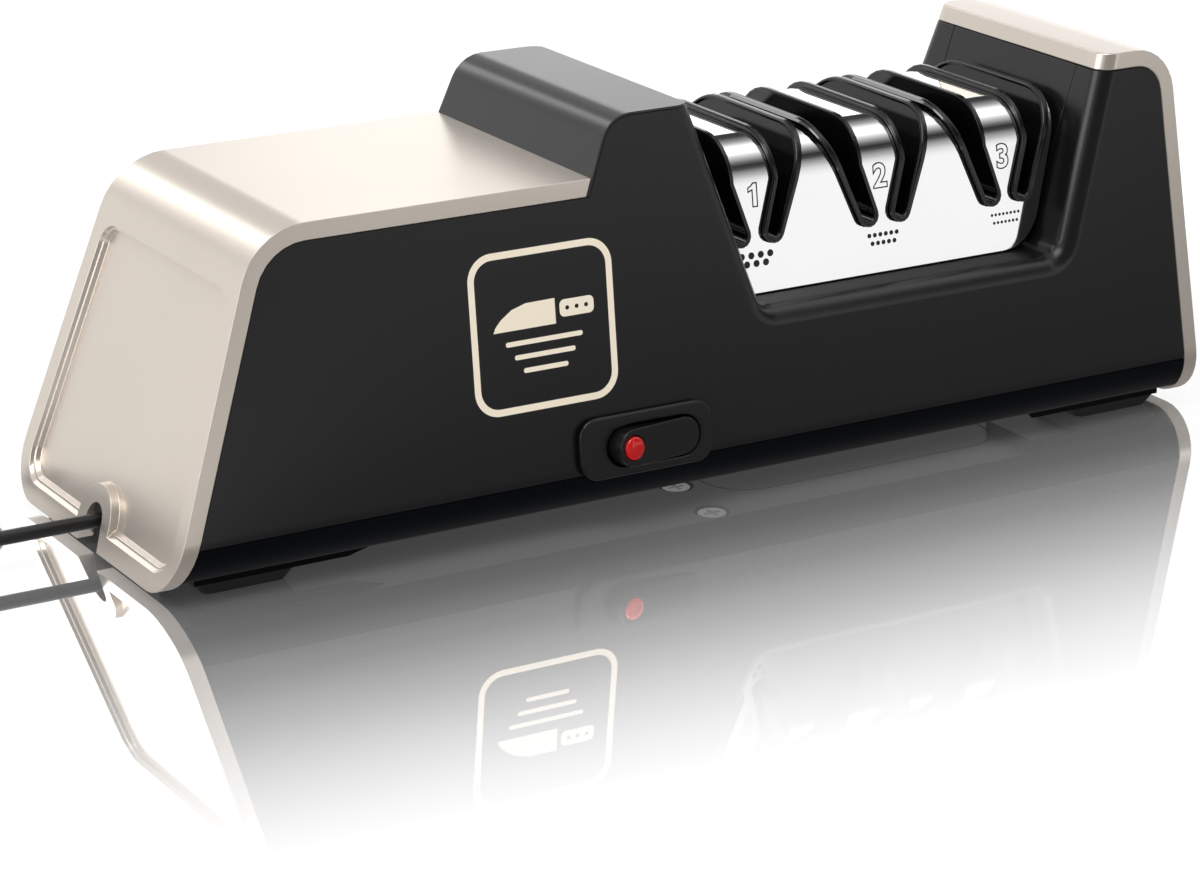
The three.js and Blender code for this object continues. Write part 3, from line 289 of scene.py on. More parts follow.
@dataclass(frozen=True)
class Finish:
    """A moulded, painted or metal surface with a fine grain and a slow drift of colour.

    Attributes:
        name: Name of the material.
        colour: Main colour in linear light.
        second: Colour that it drifts to.
        metallic: Share of metal.
        roughness: Middle roughness.
        spread: How far the roughness wanders.
        specular: Specular level.
        grain_scale: Grains per metre, roughly.
        grain_depth: Depth of the grain in metres.
        drift_scale: Patches of colour per metre, roughly.
        bump: Strength of the grain.
    """

    name: str
    colour: Colour
    second: Colour
    metallic: float = 0.0
    roughness: float = 0.4
    spread: float = 0.08
    specular: float = 0.5
    grain_scale: float = 900.0
    grain_depth: float = 1e-5
    drift_scale: float = 30.0
    bump: float = 0.6

    def base(self) -> tuple[NodeSheet, Node]:
        """Starts the material.

        Returns:
            Its sheet and its Principled shader.
        """
        material = bpy.data.materials.new(self.name)
        material.use_nodes = True
        shader = material.node_tree.nodes["Principled BSDF"]
        shader.inputs["Metallic"].default_value = self.metallic
        shader.inputs["Specular IOR Level"].default_value = self.specular
        return NodeSheet(material.node_tree), shader

    def relief(self, sheet: NodeSheet, grain: Node) -> NodeSocket:
        """Height that the surface's fine texture comes from."""
        return grain.outputs["Height"]

    def build(self) -> None:
        """Makes the material."""
        sheet, shader = self.base()
        grain = sheet.effect(Effect.GRAIN, Scale=self.grain_scale, Roughness=self.roughness, Spread=self.spread)
        drift = sheet.effect(Effect.DRIFT, Colour=self.colour, Second=self.second, Scale=self.drift_scale)
        bump = sheet.add("Bump", Height=self.relief(sheet, grain), Strength=self.bump, Distance=self.grain_depth)
        sheet.feed(shader.inputs["Base Color"], drift.outputs["Colour"])
        sheet.feed(shader.inputs["Roughness"], grain.outputs["Roughness"])
        sheet.feed(shader.inputs["Normal"], bump.outputs["Normal"])


@dataclass(frozen=True)
class LinedMetal(Finish):
    """Metal with brushed or turned lines along one axis."""

    bump: float = 0.5
    stretch: Point = (1.0, 0.02, 0.02)
    line_scale: float = 3000.0

    def relief(self, sheet: NodeSheet, grain: Node) -> NodeSocket:
        """Height of the lines, in place of the grain's own."""
        stretches = {f"Stretch_{axis}": value for axis, value in zip("XYZ", self.stretch)}
        return sheet.effect(Effect.BRUSH, Scale=self.line_scale, **stretches).outputs["Height"]


@dataclass(frozen=True)
class GrittyFace(Finish):
    """Bonded abrasive with grains that catch the light."""

    bump: float = 0.8
    grain_colour: Colour = (0.6, 0.6, 0.6)

    def build(self) -> None:
        """Makes the material."""
        sheet, shader = self.base()
        grit = sheet.effect(Effect.GRIT, Colour=self.colour, Grain=self.grain_colour, Scale=self.grain_scale)
        bump = sheet.add("Bump", Height=grit.outputs["Height"], Strength=self.bump, Distance=self.grain_depth)
        shader.inputs["Roughness"].default_value = self.roughness
        sheet.feed(shader.inputs["Base Color"], grit.outputs["Colour"])
        sheet.feed(shader.inputs["Normal"], bump.outputs["Normal"])


CHAMPAGNE = Finish("champagne_paint", srgb(216, 206, 195), srgb(213, 203, 192), metallic=0.75, roughness=0.27,
                   spread=0.02, grain_scale=700.0, grain_depth=1e-6)
BLACK = Finish("satin_black_moulding", srgb(17, 17, 18), srgb(16, 16, 17), roughness=0.27, spread=0.03,
               specular=0.45, grain_scale=700.0, grain_depth=1e-6)
HUMP = Finish("polished_top_moulding", srgb(16, 16, 17), srgb(15, 15, 16), roughness=0.24, spread=0.03,
              specular=0.6, grain_scale=700.0, grain_depth=1e-6)
GLOSS = Finish("polished_black_moulding", srgb(10, 10, 11), srgb(8, 8, 9), roughness=0.14, spread=0.03,
               grain_scale=500.0, grain_depth=2e-6)
TRAY = Finish("blue_black_moulding", srgb(5, 8, 14), srgb(3, 5, 10), roughness=0.3, specular=0.08,
              grain_scale=700.0, grain_depth=1e-6)
RUBBER = Finish("foot_rubber", srgb(24, 24, 25), srgb(18, 18, 19), roughness=0.8, grain_scale=1400.0,
                grain_depth=3e-5)
CORD_VINYL = Finish("cord_vinyl", srgb(20, 20, 21), srgb(16, 16, 17), roughness=0.36, grain_scale=1500.0)
BRIGHT = LinedMetal("bright_sheet", (0.93, 0.93, 0.94), (0.91, 0.91, 0.92), metallic=1.0, roughness=0.045,
                    spread=0.02, grain_depth=4e-7, stretch=(0.02, 1.0, 1.0))
STEEL = LinedMetal("turned_steel", srgb(188, 190, 192), srgb(176, 178, 181), metallic=1.0, roughness=0.3,
                   grain_depth=4e-6, stretch=(1.0, 0.03, 0.03))
ZINC = Finish("zinc_plate", srgb(176, 178, 180), srgb(160, 163, 168), metallic=1.0, roughness=0.42,
              spread=0.2, drift_scale=260.0, grain_depth=2e-5)
COARSE = GrittyFace("diamond_grit", srgb(98, 96, 92), srgb(90, 88, 84), metallic=0.35, roughness=0.6,
                    grain_scale=2400.0, grain_depth=1.2e-4, grain_colour=srgb(205, 203, 196))
RESIN = GrittyFace("resin_disc", srgb(196, 174, 134), srgb(190, 168, 130), roughness=0.7,
                   grain_scale=5200.0, grain_depth=4e-5, grain_colour=srgb(222, 205, 172))
LENS = Finish("clear_red_moulding", srgb(204, 16, 18), srgb(180, 10, 12), roughness=0.14, specular=0.5,
              grain_depth=5e-7, drift_scale=500.0)
BOARD = Finish("solder_mask", srgb(28, 92, 54), srgb(22, 80, 46), roughness=0.35, drift_scale=420.0)
CREAM = Finish("cream_ink", srgb(255, 243, 221), srgb(252, 239, 216), roughness=0.5, grain_depth=2e-6)
INK = Finish("black_ink", srgb(36, 36, 38), srgb(30, 30, 32), roughness=0.5, grain_depth=1e-6)
TIE = Finish("tie_strip", srgb(40, 40, 42), srgb(32, 32, 34), roughness=0.5)

FINISHES = (CHAMPAGNE, BLACK, HUMP, GLOSS, TRAY, RUBBER, CORD_VINYL, BRIGHT, STEEL, ZINC, COARSE, RESIN, LENS, BOARD,
            CREAM, INK, TIE)


def dressed(obj: Object, finish: Finish) -> Object:
    """Gives an object one finish on all its faces.

    Args:
        obj: The object.
        finish: Its finish.

    Returns:
        The same object.
    """
    obj.data.materials.clear()
    obj.data.materials.append(bpy.data.materials[finish.name])
    for face in obj.data.polygons:
        face.material_index = 0
    return obj


def mesh_piece(name: str, points: Iterable[Sequence[float]], faces: Iterable[Sequence[int]],
               finish: Finish, body: str) -> Object:
    """Makes an object that rides on a body.

    Args:
        name: Name of the piece.
        points: Its points in metres.
        faces: Its faces by point number.
        finish: Its finish.
        body: The body that it rides on.

    Returns:
        The object.
    """
    mesh = bpy.data.meshes.new(name)
    mesh.from_pydata([tuple(p) for p in points], [], [tuple(f) for f in faces])
    mesh.validate()
    shape = bmesh.new()
    shape.from_mesh(mesh)
    bmesh.ops.recalc_face_normals(shape, faces=shape.faces)
    shape.to_mesh(mesh)
    shape.free()
    mesh.update()
    obj = bpy.data.objects.new(name, mesh)
    bpy.context.scene.collection.objects.link(obj)
    dressed(obj, finish)
    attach(obj, body)
    return obj


def around(count: int, shift: float = 0.0) -> list[tuple[float, float]]:
    """Cosines and sines of even steps round a circle."""
    return [(math.cos(a), math.sin(a)) for a in (2 * math.pi * (k + shift) / count for k in range(count))]


def tube_mesh(rings: Sequence[Sequence[Sequence[float]]], closed: bool = False) -> tuple[list, list]:
    """Skin through rings of points.

    Args:
        rings: The rings, which all have the same number of points.
        closed: Whether the last ring joins the first one. Otherwise both ends are capped.

    Returns:
        The points, and the faces by point number.
    """
    count = len(rings[0])
    points = [tuple(p) for ring in rings for p in ring]
    faces = []
    spans = len(rings) if closed else len(rings) - 1
    for k in range(spans):
        a, b = k * count, ((k + 1) % len(rings)) * count
        faces += [(a + i, a + (i + 1) % count, b + (i + 1) % count, b + i) for i in range(count)]
    if not closed:
        faces.append(tuple(reversed(range(count))))
        faces.append(tuple((len(rings) - 1) * count + i for i in range(count)))
    return points, faces


# Cord


@dataclass
class Cord:
    """Two-core cord: straight out of the notch, down to the table, and into a tied coil.

    Attributes:
        lead: Route from the housing to the coil.
        tail: Route from the coil to the plug.
        tie_slack: How far the tie's outside stands off the cord.
        tie_half: Half of the tie's width.
    """

    lead: Sequence[Point]
    tail: Sequence[Point]
    radius: float = 0.00175
    sides: int = 12
    coil_centre_x: float = -0.240
    coil_inner: float = 0.015
    coil_pitch: float = 0.00405
    coil_rise: float = 0.0041
    layers: int = 4
    turns_per_layer: float = 2.125
    steps_per_turn: int = 24
    tie_slack: float = 0.0003
    tie_half: float = 0.0016
    tie_corner: float = 0.0016

    @property
    def coil_outer(self) -> float:
        """Radius of the coil's outermost turn."""
        return self.coil_inner + self.coil_pitch * self.turns_per_layer

    def coil_point(self, turns: float) -> Vector:
        """Point on the coil's middle line.

        Args:
            turns: How many turns it lies from the outer end of the lowest layer.

        Returns:
            The point in metres.
        """
        legs = turns / self.turns_per_layer
        leg = min(math.floor(legs), self.layers - 1)
        part = legs - leg
        inward = part if leg % 2 == 0 else 1 - part
        radius = self.coil_outer - self.coil_pitch * self.turns_per_layer * inward
        nearest = min(max(math.floor(legs + 0.5), 1), self.layers - 1)
        beyond = (turns - nearest * self.turns_per_layer) * 4
        climb = min(max((beyond + 1) / 2, 0.0), 1.0)
        height = self.radius + self.coil_rise * (nearest - 1 + climb * climb * (3 - 2 * climb))
        angle = -math.pi / 2 - 2 * math.pi * turns
        return Vector((
            self.coil_centre_x + radius * math.cos(angle),
            SHIFT + self.coil_outer + radius * math.sin(angle),
            height,
        ))

    @staticmethod
    def eased(points: Sequence[Point], per_span: int) -> list[Vector]:
        """Smooth line through points.

        Args:
            points: The points, both ends of which are kept.
            per_span: Steps from one point to the next.

        Returns:
            The line's points.
        """
        knots = [Vector(p) for p in points]
        knots = [2 * knots[0] - knots[1], *knots, 2 * knots[-1] - knots[-2]]
        line = []
        for a, b, c, d in zip(knots, knots[1:], knots[2:], knots[3:]):
            for k in range(per_span):
                t = k / per_span
                line.append(0.5 * (2 * b + (c - a) * t + (2 * a - 5 * b + 4 * c - d) * t * t
                                   + (3 * b - a - 3 * c + d) * t ** 3))
        return [*line, knots[-2]]

    def route(self) -> list[Vector]:
        """Whole middle line.

        Returns:
            Its points, from the housing to the plug.
        """
        turns = self.layers * self.turns_per_layer
        count = round(turns * self.steps_per_turn)
        coil = [self.coil_point(turns * k / count) for k in range(count + 1)]
        return [*self.eased(self.lead, 2), *coil, *self.eased(self.tail, 3)]

    def rings(self, line: Sequence[Vector]) -> list[list[Vector]]:
        """Round sections along the middle line, turned as little as they can be.

        Args:
            line: The middle line.

        Returns:
            A ring of points for each of the line's points.
        """
        made = []
        for k, point in enumerate(line):
            ahead = (line[min(k + 1, len(line) - 1)] - line[max(k - 1, 0)]).normalized()
            sideways = Vector((0, 0, 1)).cross(ahead).normalized()
            upward = ahead.cross(sideways)
            made.append([point + self.radius * (c * sideways + s * upward) for c, s in around(self.sides, 0.5)])
        return made

    def tie(self) -> Object:
        """Makes the flat strip round the coil's turns, on the side away from the housing.

        Returns:
            The strip.
        """
        def section(inset: float, floor: float, roof: float, corner: float) -> list[tuple[float, float]]:
            """Outline of the strip's outside or inside.

            Args:
                inset: How far its ends lie inside the strip's outside.
                floor: Height of its lower edge.
                roof: How far its upper edge lies under the strip's top.
                corner: Radius of its corners.

            Returns:
                The outline, in distance from the coil's middle and height.
            """
            low = self.coil_inner - self.radius - self.tie_slack + inset
            high = self.coil_outer + self.radius + self.tie_slack - inset
            top = 2 * self.radius + self.coil_rise * (self.layers - 1) + self.tie_slack - roof
            return rounded_outline([(low, floor), (high, floor), (high, top), (low, top)], corner, 6)

        half = self.tie_half
        rings = []
        outside = section(0.0, 0.0002, 0.0, self.tie_corner)
        inside = section(0.0005, 0.0005, 0.0004, self.tie_corner - 0.0003)
        for (r, z), (ri, zi) in zip(outside, inside):
            corners = [(r, -half, z), (r, half, z), (ri, half, zi), (ri, -half, zi)]
            rings.append([(self.coil_centre_x - a, SHIFT + self.coil_outer + b, c) for a, b, c in corners])
        points, faces = tube_mesh(rings, closed=True)
        return smoothed(mesh_piece("coil_tie", points, faces, TIE, "housing"), 40)

    def build(self) -> None:
        line = self.route()
        points, faces = tube_mesh(self.rings(line))
        cord = smoothed(mesh_piece("power_cord", points, faces, CORD_VINYL, "housing"), 60)
        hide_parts("cord_lead", "cord_coil", "cord_tail")
        tie = self.tie()


def rounded_outline(corners: Sequence[tuple[float, float]], radius: float, steps: int) -> list[tuple[float, float]]:
    """Closed outline with an arc at each corner.

    Args:
        corners: The corners in order.
        radius: Radius of the arcs.
        steps: Steps in each arc.

    Returns:
        The outline's points.
    """
    outline = []
    for i, corner in enumerate(corners):
        here = Vector(corner)
        before = (Vector(corners[i - 1]) - here).normalized()
        after = (Vector(corners[(i + 1) % len(corners)]) - here).normalized()
        half = before.angle(after) / 2
        centre = here + (before + after).normalized() * (radius / math.sin(half))
        start = here + before * (radius / math.tan(half)) - centre
        end = here + after * (radius / math.tan(half)) - centre
        first = math.atan2(start.y, start.x)
        sweep = math.atan2(end.y, end.x) - first
        sweep = (sweep + math.pi) % (2 * math.pi) - math.pi
        outline += [(centre.x + radius * math.cos(first + sweep * k / steps),
                     centre.y + radius * math.sin(first + sweep * k / steps)) for k in range(steps + 1)]
    return outline


def smoothed(obj: Object, degrees: float) -> Object:
    """Shades an object smooth, apart from its sharp edges.

    Args:
        obj: The object.
        degrees: Angle above which an edge stays sharp.

    Returns:
        The same object.
    """
    obj.data.shade_smooth()
    obj.data.set_sharp_from_angle(angle=math.radians(degrees))
    return obj


def edged(obj: Object, width_mm: float, flat: float = 0.6, degrees: float = 38, clamp: bool = True) -> Object:
    """Rounds an object's edges a little and shades it smooth.

    Args:
        obj: The object, whose own mesh isn't changed.
        width_mm: Width of the rounding in millimetres.
        flat: Angle below which neighbouring faces are merged first.
        degrees: Angle above which an edge is rounded.
        clamp: Whether the rounding shrinks where edges lie close together.

    Returns:
        The same object.
    """
    weld = obj.modifiers.new("weld", "WELD")
    weld.merge_threshold = 1e-6
    plain = obj.modifiers.new("plain", "DECIMATE")
    plain.decimate_type = "DISSOLVE"
    plain.angle_limit = math.radians(flat)
    bevel = obj.modifiers.new("edges", "BEVEL")
    bevel.width = width_mm * MM
    bevel.segments = 3
    bevel.limit_method = "ANGLE"
    bevel.angle_limit = math.radians(degrees)
    bevel.miter_outer = "MITER_ARC"
    bevel.use_clamp_overlap = clamp
    bevel.harden_normals = False
    obj.data.shade_smooth()
    weighted = obj.modifiers.new("normals", "WEIGHTED_NORMAL")
    weighted.mode = "FACE_AREA_WITH_ANGLE"
    weighted.weight = 50
    weighted.keep_sharp = True
    return obj


# Module: rims of the guide slots, and the marks on the bright cover


@dataclass
class SlotRims:
    """Rounded glossy beads along the edges of the six guide slots.

    Lengths are millimetres; places in X are from the middle of a stage.

    Attributes:
        stages: Places of the stages' middles.
        outer_top, inner_top, kink, foot: Points of the left guide's opening in X and Z.
        half_at_ledge: Half width of the bright cover at the height of its ledge.
        lean: How far the cover's face goes back for each millimetre up.
        proud: How far the guides stand out of the cover.
        inset: How far the bead's middle line lies inside the guide's face.
        climb_steps: Depths under the guide's roof at which its rounded edge is followed.
    """

    stages: tuple[float, ...] = (19.6, 57.9, 96.2)
    outer_top: tuple[float, float] = (-17.3, 86.0)
    inner_top: tuple[float, float] = (-5.6, 86.0)
    kink: tuple[float, float] = (-6.0, 75.0)
    kink_radius: float = 3.0
    foot: tuple[float, float] = (-4.9, 62.0)
    foot_radius: float = 2.95
    half_at_ledge: float = 31.1
    ledge: float = 46.5
    lean: float = 0.141
    top: float = 84.3
    edge_radius: float = 12.5
    proud: float = 1.5
    wall: float = 1.0
    bead: float = 0.6
    inset: float = 0.55
    climb_steps: tuple[float, ...] = (9.0, 6.5, 4.5, 3.0, 1.8, 0.9, 0.3, 0.0)
    step: float = 0.9
    sides: int = 10

    def section(self) -> list[Vector]:
        """Middle line of the guide's wall.

        Returns:
            Its points in X and Z, from the outer top round the foot to the inner top.
        """
        half = self.wall / 2
        centre = Vector(self.foot)
        radius = self.foot_radius - half
        outer = Vector((self.outer_top[0] + half, self.outer_top[1]))
        kink = Vector((self.kink[0] - half, self.kink[1]))
        inner = Vector((self.inner_top[0] - half, self.inner_top[1]))

        def touch(point: Vector, turn: int) -> float:
            """Angle at which a line from a point touches the foot's arc."""
            away = point - centre
            return math.atan2(away.y, away.x) + turn * math.acos(radius / away.length)

        start, end = touch(outer, 1), touch(kink, -1)
        sweep = (end - start) % (2 * math.pi)
        arc = [centre + radius * Vector((math.cos(start + sweep * k / 12), math.sin(start + sweep * k / 12)))
               for k in range(13)]
        steps = 5
        bend = rounded_outline([tuple(arc[-1]), tuple(kink), tuple(inner)], self.kink_radius, steps)
        return [outer, *arc, *map(Vector, bend[steps + 1:2 * (steps + 1)]), inner]

    def depth(self, height: float) -> float:
        """Half width that the bead's middle line has at a height.

        Args:
            height: The height in millimetres.

        Returns:
            The half width in millimetres.
        """
        grow = self.proud - self.inset
        radius = self.edge_radius + grow
        top = self.top + grow
        tilt = math.atan(self.lean)
        half_top = self.half_at_ledge - self.lean * (top - self.ledge) + grow
        reach = radius * math.tan((math.pi / 2 - tilt) / 2)
        centre_y, centre_z = half_top - reach, top - radius
        if height <= centre_z + radius * math.sin(tilt):
            return self.half_at_ledge - self.lean * (height - self.ledge) + grow
        rise = min(height - centre_z, radius)
        return centre_y + math.sqrt(radius * radius - rise * rise)

    def line(self, centre: float, hand: int) -> list[Vector]:
        """Closed middle line of one guide's bead.

        Args:
            centre: Middle of the stage.
            hand: -1 for the left slot of the pair, 1 for the right one.

        Returns:
            The line's points in metres.
        """
        heights = [self.top + self.proud - self.inset - step for step in self.climb_steps]
        low = [p for p in self.section() if p.y < heights[0]]
        outer_lean = (self.outer_top[0] - low[0].x) / (self.outer_top[1] - low[0].y)

        def outer_x(height: float) -> float:
            """Place of the outer wall's line at a height."""
            return self.outer_top[0] + self.wall / 2 + outer_lean * (height - self.outer_top[1])

        def inner_x(height: float) -> float:
            """Place of the inner wall's line at a height."""
            share = max(height - self.kink[1], 0.0) / (self.inner_top[1] - self.kink[1])
            return self.kink[0] + (self.inner_top[0] - self.kink[0]) * share - self.wall / 2

        line = []
        for side in (-1, 1):
            face = [(p.x, side * self.depth(p.y), p.y) for p in low]
            left, right = ([(across(z), side * self.depth(z), z) for z in heights] for across in (outer_x, inner_x))
            loop = [*reversed(left), *face, *right]
            line += loop if side < 0 else list(reversed(loop))
        return [Vector(((centre - hand * x) * MM, y * MM + SHIFT, z * MM)) for x, y, z in line]

    def build(self) -> None:
        """Makes the six beads."""
        for stage, centre in enumerate(self.stages, 1):
            for hand, word in ((-1, "left"), (1, "right")):
                rings = tube_rings(even_steps(self.line(centre, hand), self.step * MM), self.bead * MM, self.sides)
                points, faces = tube_mesh(rings, closed=True)
                rim = mesh_piece(f"slot_rim_{stage}_{word}", points, faces, GLOSS, "housing")
                smoothed(rim, 60)
        log.info("slot rims: %d", 2 * len(self.stages))


def even_steps(line: Sequence[Vector], step: float) -> list[Vector]:
    """Evenly spaced points along a closed line, with its corners eased.

    Args:
        line: The line's points.
        step: Distance from one new point to the next, roughly.

    Returns:
        The new points.
    """
    ends = [*line, line[0]]
    lengths = [(b - a).length for a, b in zip(ends, ends[1:])]
    count = round(sum(lengths) / step)
    made, k, passed = [], 0, 0.0
    for i in range(count):
        goal = sum(lengths) * i / count
        while passed + lengths[k] < goal:
            passed += lengths[k]
            k += 1
        made.append(ends[k].lerp(ends[k + 1], (goal - passed) / lengths[k]))
    for _ in range(2):
        made = [(made[i - 1] + 2 * made[i] + made[(i + 1) % count]) / 4 for i in range(count)]
    return made


def tube_rings(line: Sequence[Vector], radius: float, sides: int) -> list[list[Vector]]:
    """Round sections along a closed line, carried along so that they don't twist.

    Args:
        line: The line's points.
        radius: Radius of the sections.
        sides: Points in each section.

    Returns:
        A ring of points for each of the line's points.
    """
    count = len(line)
    aheads = [(line[(i + 1) % count] - line[i - 1]).normalized() for i in range(count)]
    normal = aheads[0].orthogonal().normalized()
    normals = [normal]
    for a, b in zip(aheads, aheads[1:]):
        normal = a.rotation_difference(b) @ normal
        normals.append(normal)
    closing = aheads[-1].rotation_difference(aheads[0]) @ normal
    slip = math.atan2(aheads[0].dot(closing.cross(normals[0])), closing.dot(normals[0]))
    made = []
    for i, (point, ahead, across) in enumerate(zip(line, aheads, normals)):
        across = Matrix.Rotation(slip * i / count, 3, ahead) @ across
        up = ahead.cross(across)
        made.append([point + radius * (c * across + s * up) for c, s in around(sides)])
    return made


@dataclass
class PrintedMarks:
    """Thin printed shapes on the bright cover and the front panel, in millimetres.

    Attributes:
        capital_share: Height of the font's numerals for each unit of its size.
        swell: How far the font's outline is moved outwards.
        grain_rows: Radius and number of the dots on each stage.
        row_gap: Distance between the two rows of dots.
    """

    lift: float = 0.02
    numeral_height: float = 5.9
    numeral_base: float = 68.4
    capital_share: float = 0.7
    swell: float = 0.26
    stroke: float = 0.34
    grain_rows: tuple[tuple[float, int], ...] = ((0.9, 4), (0.6, 6), (0.4, 8))
    row_gap: float = 2.1
    grain_height: float = 56.4
    grain_span: float = 8.4
    emblem_centre: tuple[float, float] = (-48.4, 51.7)
    emblem_half: float = 19.6
    emblem_line: float = 1.7

    @staticmethod
    def drawn(name: str, outlines: Sequence[Sequence[tuple[float, float]]], stroke: float = 0.0) -> Mesh:
        """Flat mesh of closed outlines.

        Args:
            name: Name of the mesh.
            outlines: The outlines in millimetres.
            stroke: Width of a line along them. Without it they are filled, and outlines inside others
                are left open.

        Returns:
            The mesh, in X and Y.
        """
        curve = bpy.data.curves.new(name, "CURVE")
        curve.dimensions = "2D"
        curve.fill_mode = "NONE" if stroke else "BOTH"
        curve.bevel_depth = stroke / 2
        curve.bevel_resolution = 1
        for outline in outlines:
            spline = curve.splines.new("POLY")
            spline.points.add(len(outline) - 1)
            for point, (u, v) in zip(spline.points, outline):
                point.co = (u, v, 0, 1)
            spline.use_cyclic_u = True
        return PrintedMarks.meshed(name, curve)

    @staticmethod
    def meshed(name: str, curve: Curve) -> Mesh:
        """Mesh of a curve or text.

        Args:
            name: Name of the object that holds the curve meanwhile.
            curve: The curve or text.

        Returns:
            The mesh, without materials.
        """
        holder = bpy.data.objects.new(name, curve)
        bpy.context.scene.collection.objects.link(holder)
        bpy.context.view_layer.update()
        mesh = bpy.data.meshes.new_from_object(holder.evaluated_get(bpy.context.evaluated_depsgraph_get()))
        bpy.data.objects.remove(holder)
        mesh.materials.clear()
        return mesh

    def numeral(self, text: str) -> Mesh:
        """Outline of a plain numeral.

        Args:
            text: The numeral.

        Returns:
            The mesh in X and Y, with its foot at zero.
        """
        if text == "1":
            return self.drawn("numeral_1", [[(u * self.numeral_height, v * self.numeral_height) for u, v in (
                (0.0, 0.0), (0.23, 0.0), (0.23, 1.0), (0.06, 1.0), (-0.04, 0.9), (-0.2, 0.82), (-0.2, 0.64),
                (0.0, 0.72))]], self.stroke)
        font = bpy.data.curves.new("numeral_" + text, "FONT")
        font.body = text
        font.align_x = "CENTER"
        font.size = self.numeral_height / self.capital_share
        font.fill_mode = "NONE"
        font.bevel_depth = self.stroke / 2
        font.bevel_resolution = 1
        font.offset = self.swell
        return self.meshed("numeral_" + text, font)

    @staticmethod
    def disc_outline(u: float, v: float, radius: float, sides: int = 16) -> list[tuple[float, float]]:
        """Round outline."""
        return [(u + radius * c, v + radius * s) for c, s in around(sides)]

    def grains(self, stage: int) -> Mesh:
        """Two rows of dots, which are fewer and larger on the coarser stages.

        Args:
            stage: The stage, counted from 0.

        Returns:
            The mesh in X and Y.
        """
        radius, count = self.grain_rows[stage]
        outlines = []
        for row in range(2):
            for k in range(count - row):
                u = self.grain_span * ((k + 0.5 * row) / (count - 1) - 0.5)
                outlines.append(self.disc_outline(u, -row * self.row_gap, radius))
        return self.drawn(f"grains_{stage + 1}", outlines)

    def emblem(self) -> Mesh:
        """Plain kitchen knife over three short strokes, inside a square line with round corners.

        Returns:
            The mesh in X and Y.
        """
        half = self.emblem_half
        square = [(-half, -half), (half, -half), (half, half), (-half, half)]
        inner = [(u * (1 - self.emblem_line / half), v * (1 - self.emblem_line / half)) for u, v in square]
        blade = [(-13.6, 0.4), (3.4, 0.4), (3.4, 6.6), (-4.5, 6.5), (-8.4, 5.4), (-11.4, 3.4), (-13.0, 1.7)]
        handle = rounded_outline([(4.6, 1.7), (14.0, 1.7), (14.0, 5.9), (4.6, 5.9)], 1.3, 5)
        rivets = [self.disc_outline(u, 3.8, 0.55, 12) for u in (6.7, 9.3, 11.9)]
        strokes = [rounded_outline([(-10.5 + k * 2.2, -3.4 - k * 3.4), (10.5 - k * 2.2, -3.4 - k * 3.4),
                                    (10.5 - k * 2.2, -2.2 - k * 3.4), (-10.5 + k * 2.2, -2.2 - k * 3.4)], 0.55, 4)
                   for k in range(3)]
        return self.drawn("emblem", [rounded_outline(square, 6.5, 10), rounded_outline(inner, 4.9, 10), blade,
                                     handle, *rivets, *strokes])

    def laid(self, mesh: Mesh, name: str, middle: tuple[float, float, float], lean: float,
             finish: Finish, flatten: float) -> Object:
        """Lays a flat mesh on a leaning face that looks to -Y.

        Args:
            mesh: The mesh in X and Y, in millimetres.
            name: Name of the piece.
            middle: Where its zero goes, in millimetres and without the part's shift in Y.
            lean: How far the face goes back for each millimetre up.
            finish: Its finish.
            flatten: Share of its own thickness that is kept.

        Returns:
            The piece.
        """
        up = Vector((0, lean, 1)).normalized()
        out = Vector((0, -1, lean)).normalized()
        for vertex in mesh.vertices:
            u, v, w = vertex.co
            place = Vector(middle) + Vector((u, 0, 0)) + v * up + (self.lift + w * flatten) * out
            vertex.co = place * MM + Vector((0, SHIFT, 0))
        obj = bpy.data.objects.new(name, mesh)
        bpy.context.scene.collection.objects.link(obj)
        dressed(obj, finish)
        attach(obj, "housing")
        return obj

    def build(self, rims: SlotRims) -> None:
        """Makes the marks.

        Args:
            rims: The module's rims, which know the sizes of the face under the marks.
        """
        for stage, centre in enumerate(rims.stages):
            for kind, height, mesh in (
                ("numeral", self.numeral_base, self.numeral(str(stage + 1))),
                ("grains", self.grain_height, self.grains(stage)),
            ):
                depth = rims.half_at_ledge - rims.lean * (height - rims.ledge)
                self.laid(mesh, f"{kind}_{stage + 1}", (centre, -depth, height), rims.lean, INK, 0.15)
        u, height = self.emblem_centre
        front = -HALF_WIDTH / MM + SIDE_LEAN * height
        self.laid(self.emblem(), "emblem", (u, front, height), SIDE_LEAN, CREAM, 1.0)
        log.info("printed marks: %d", 2 * len(rims.stages) + 1)


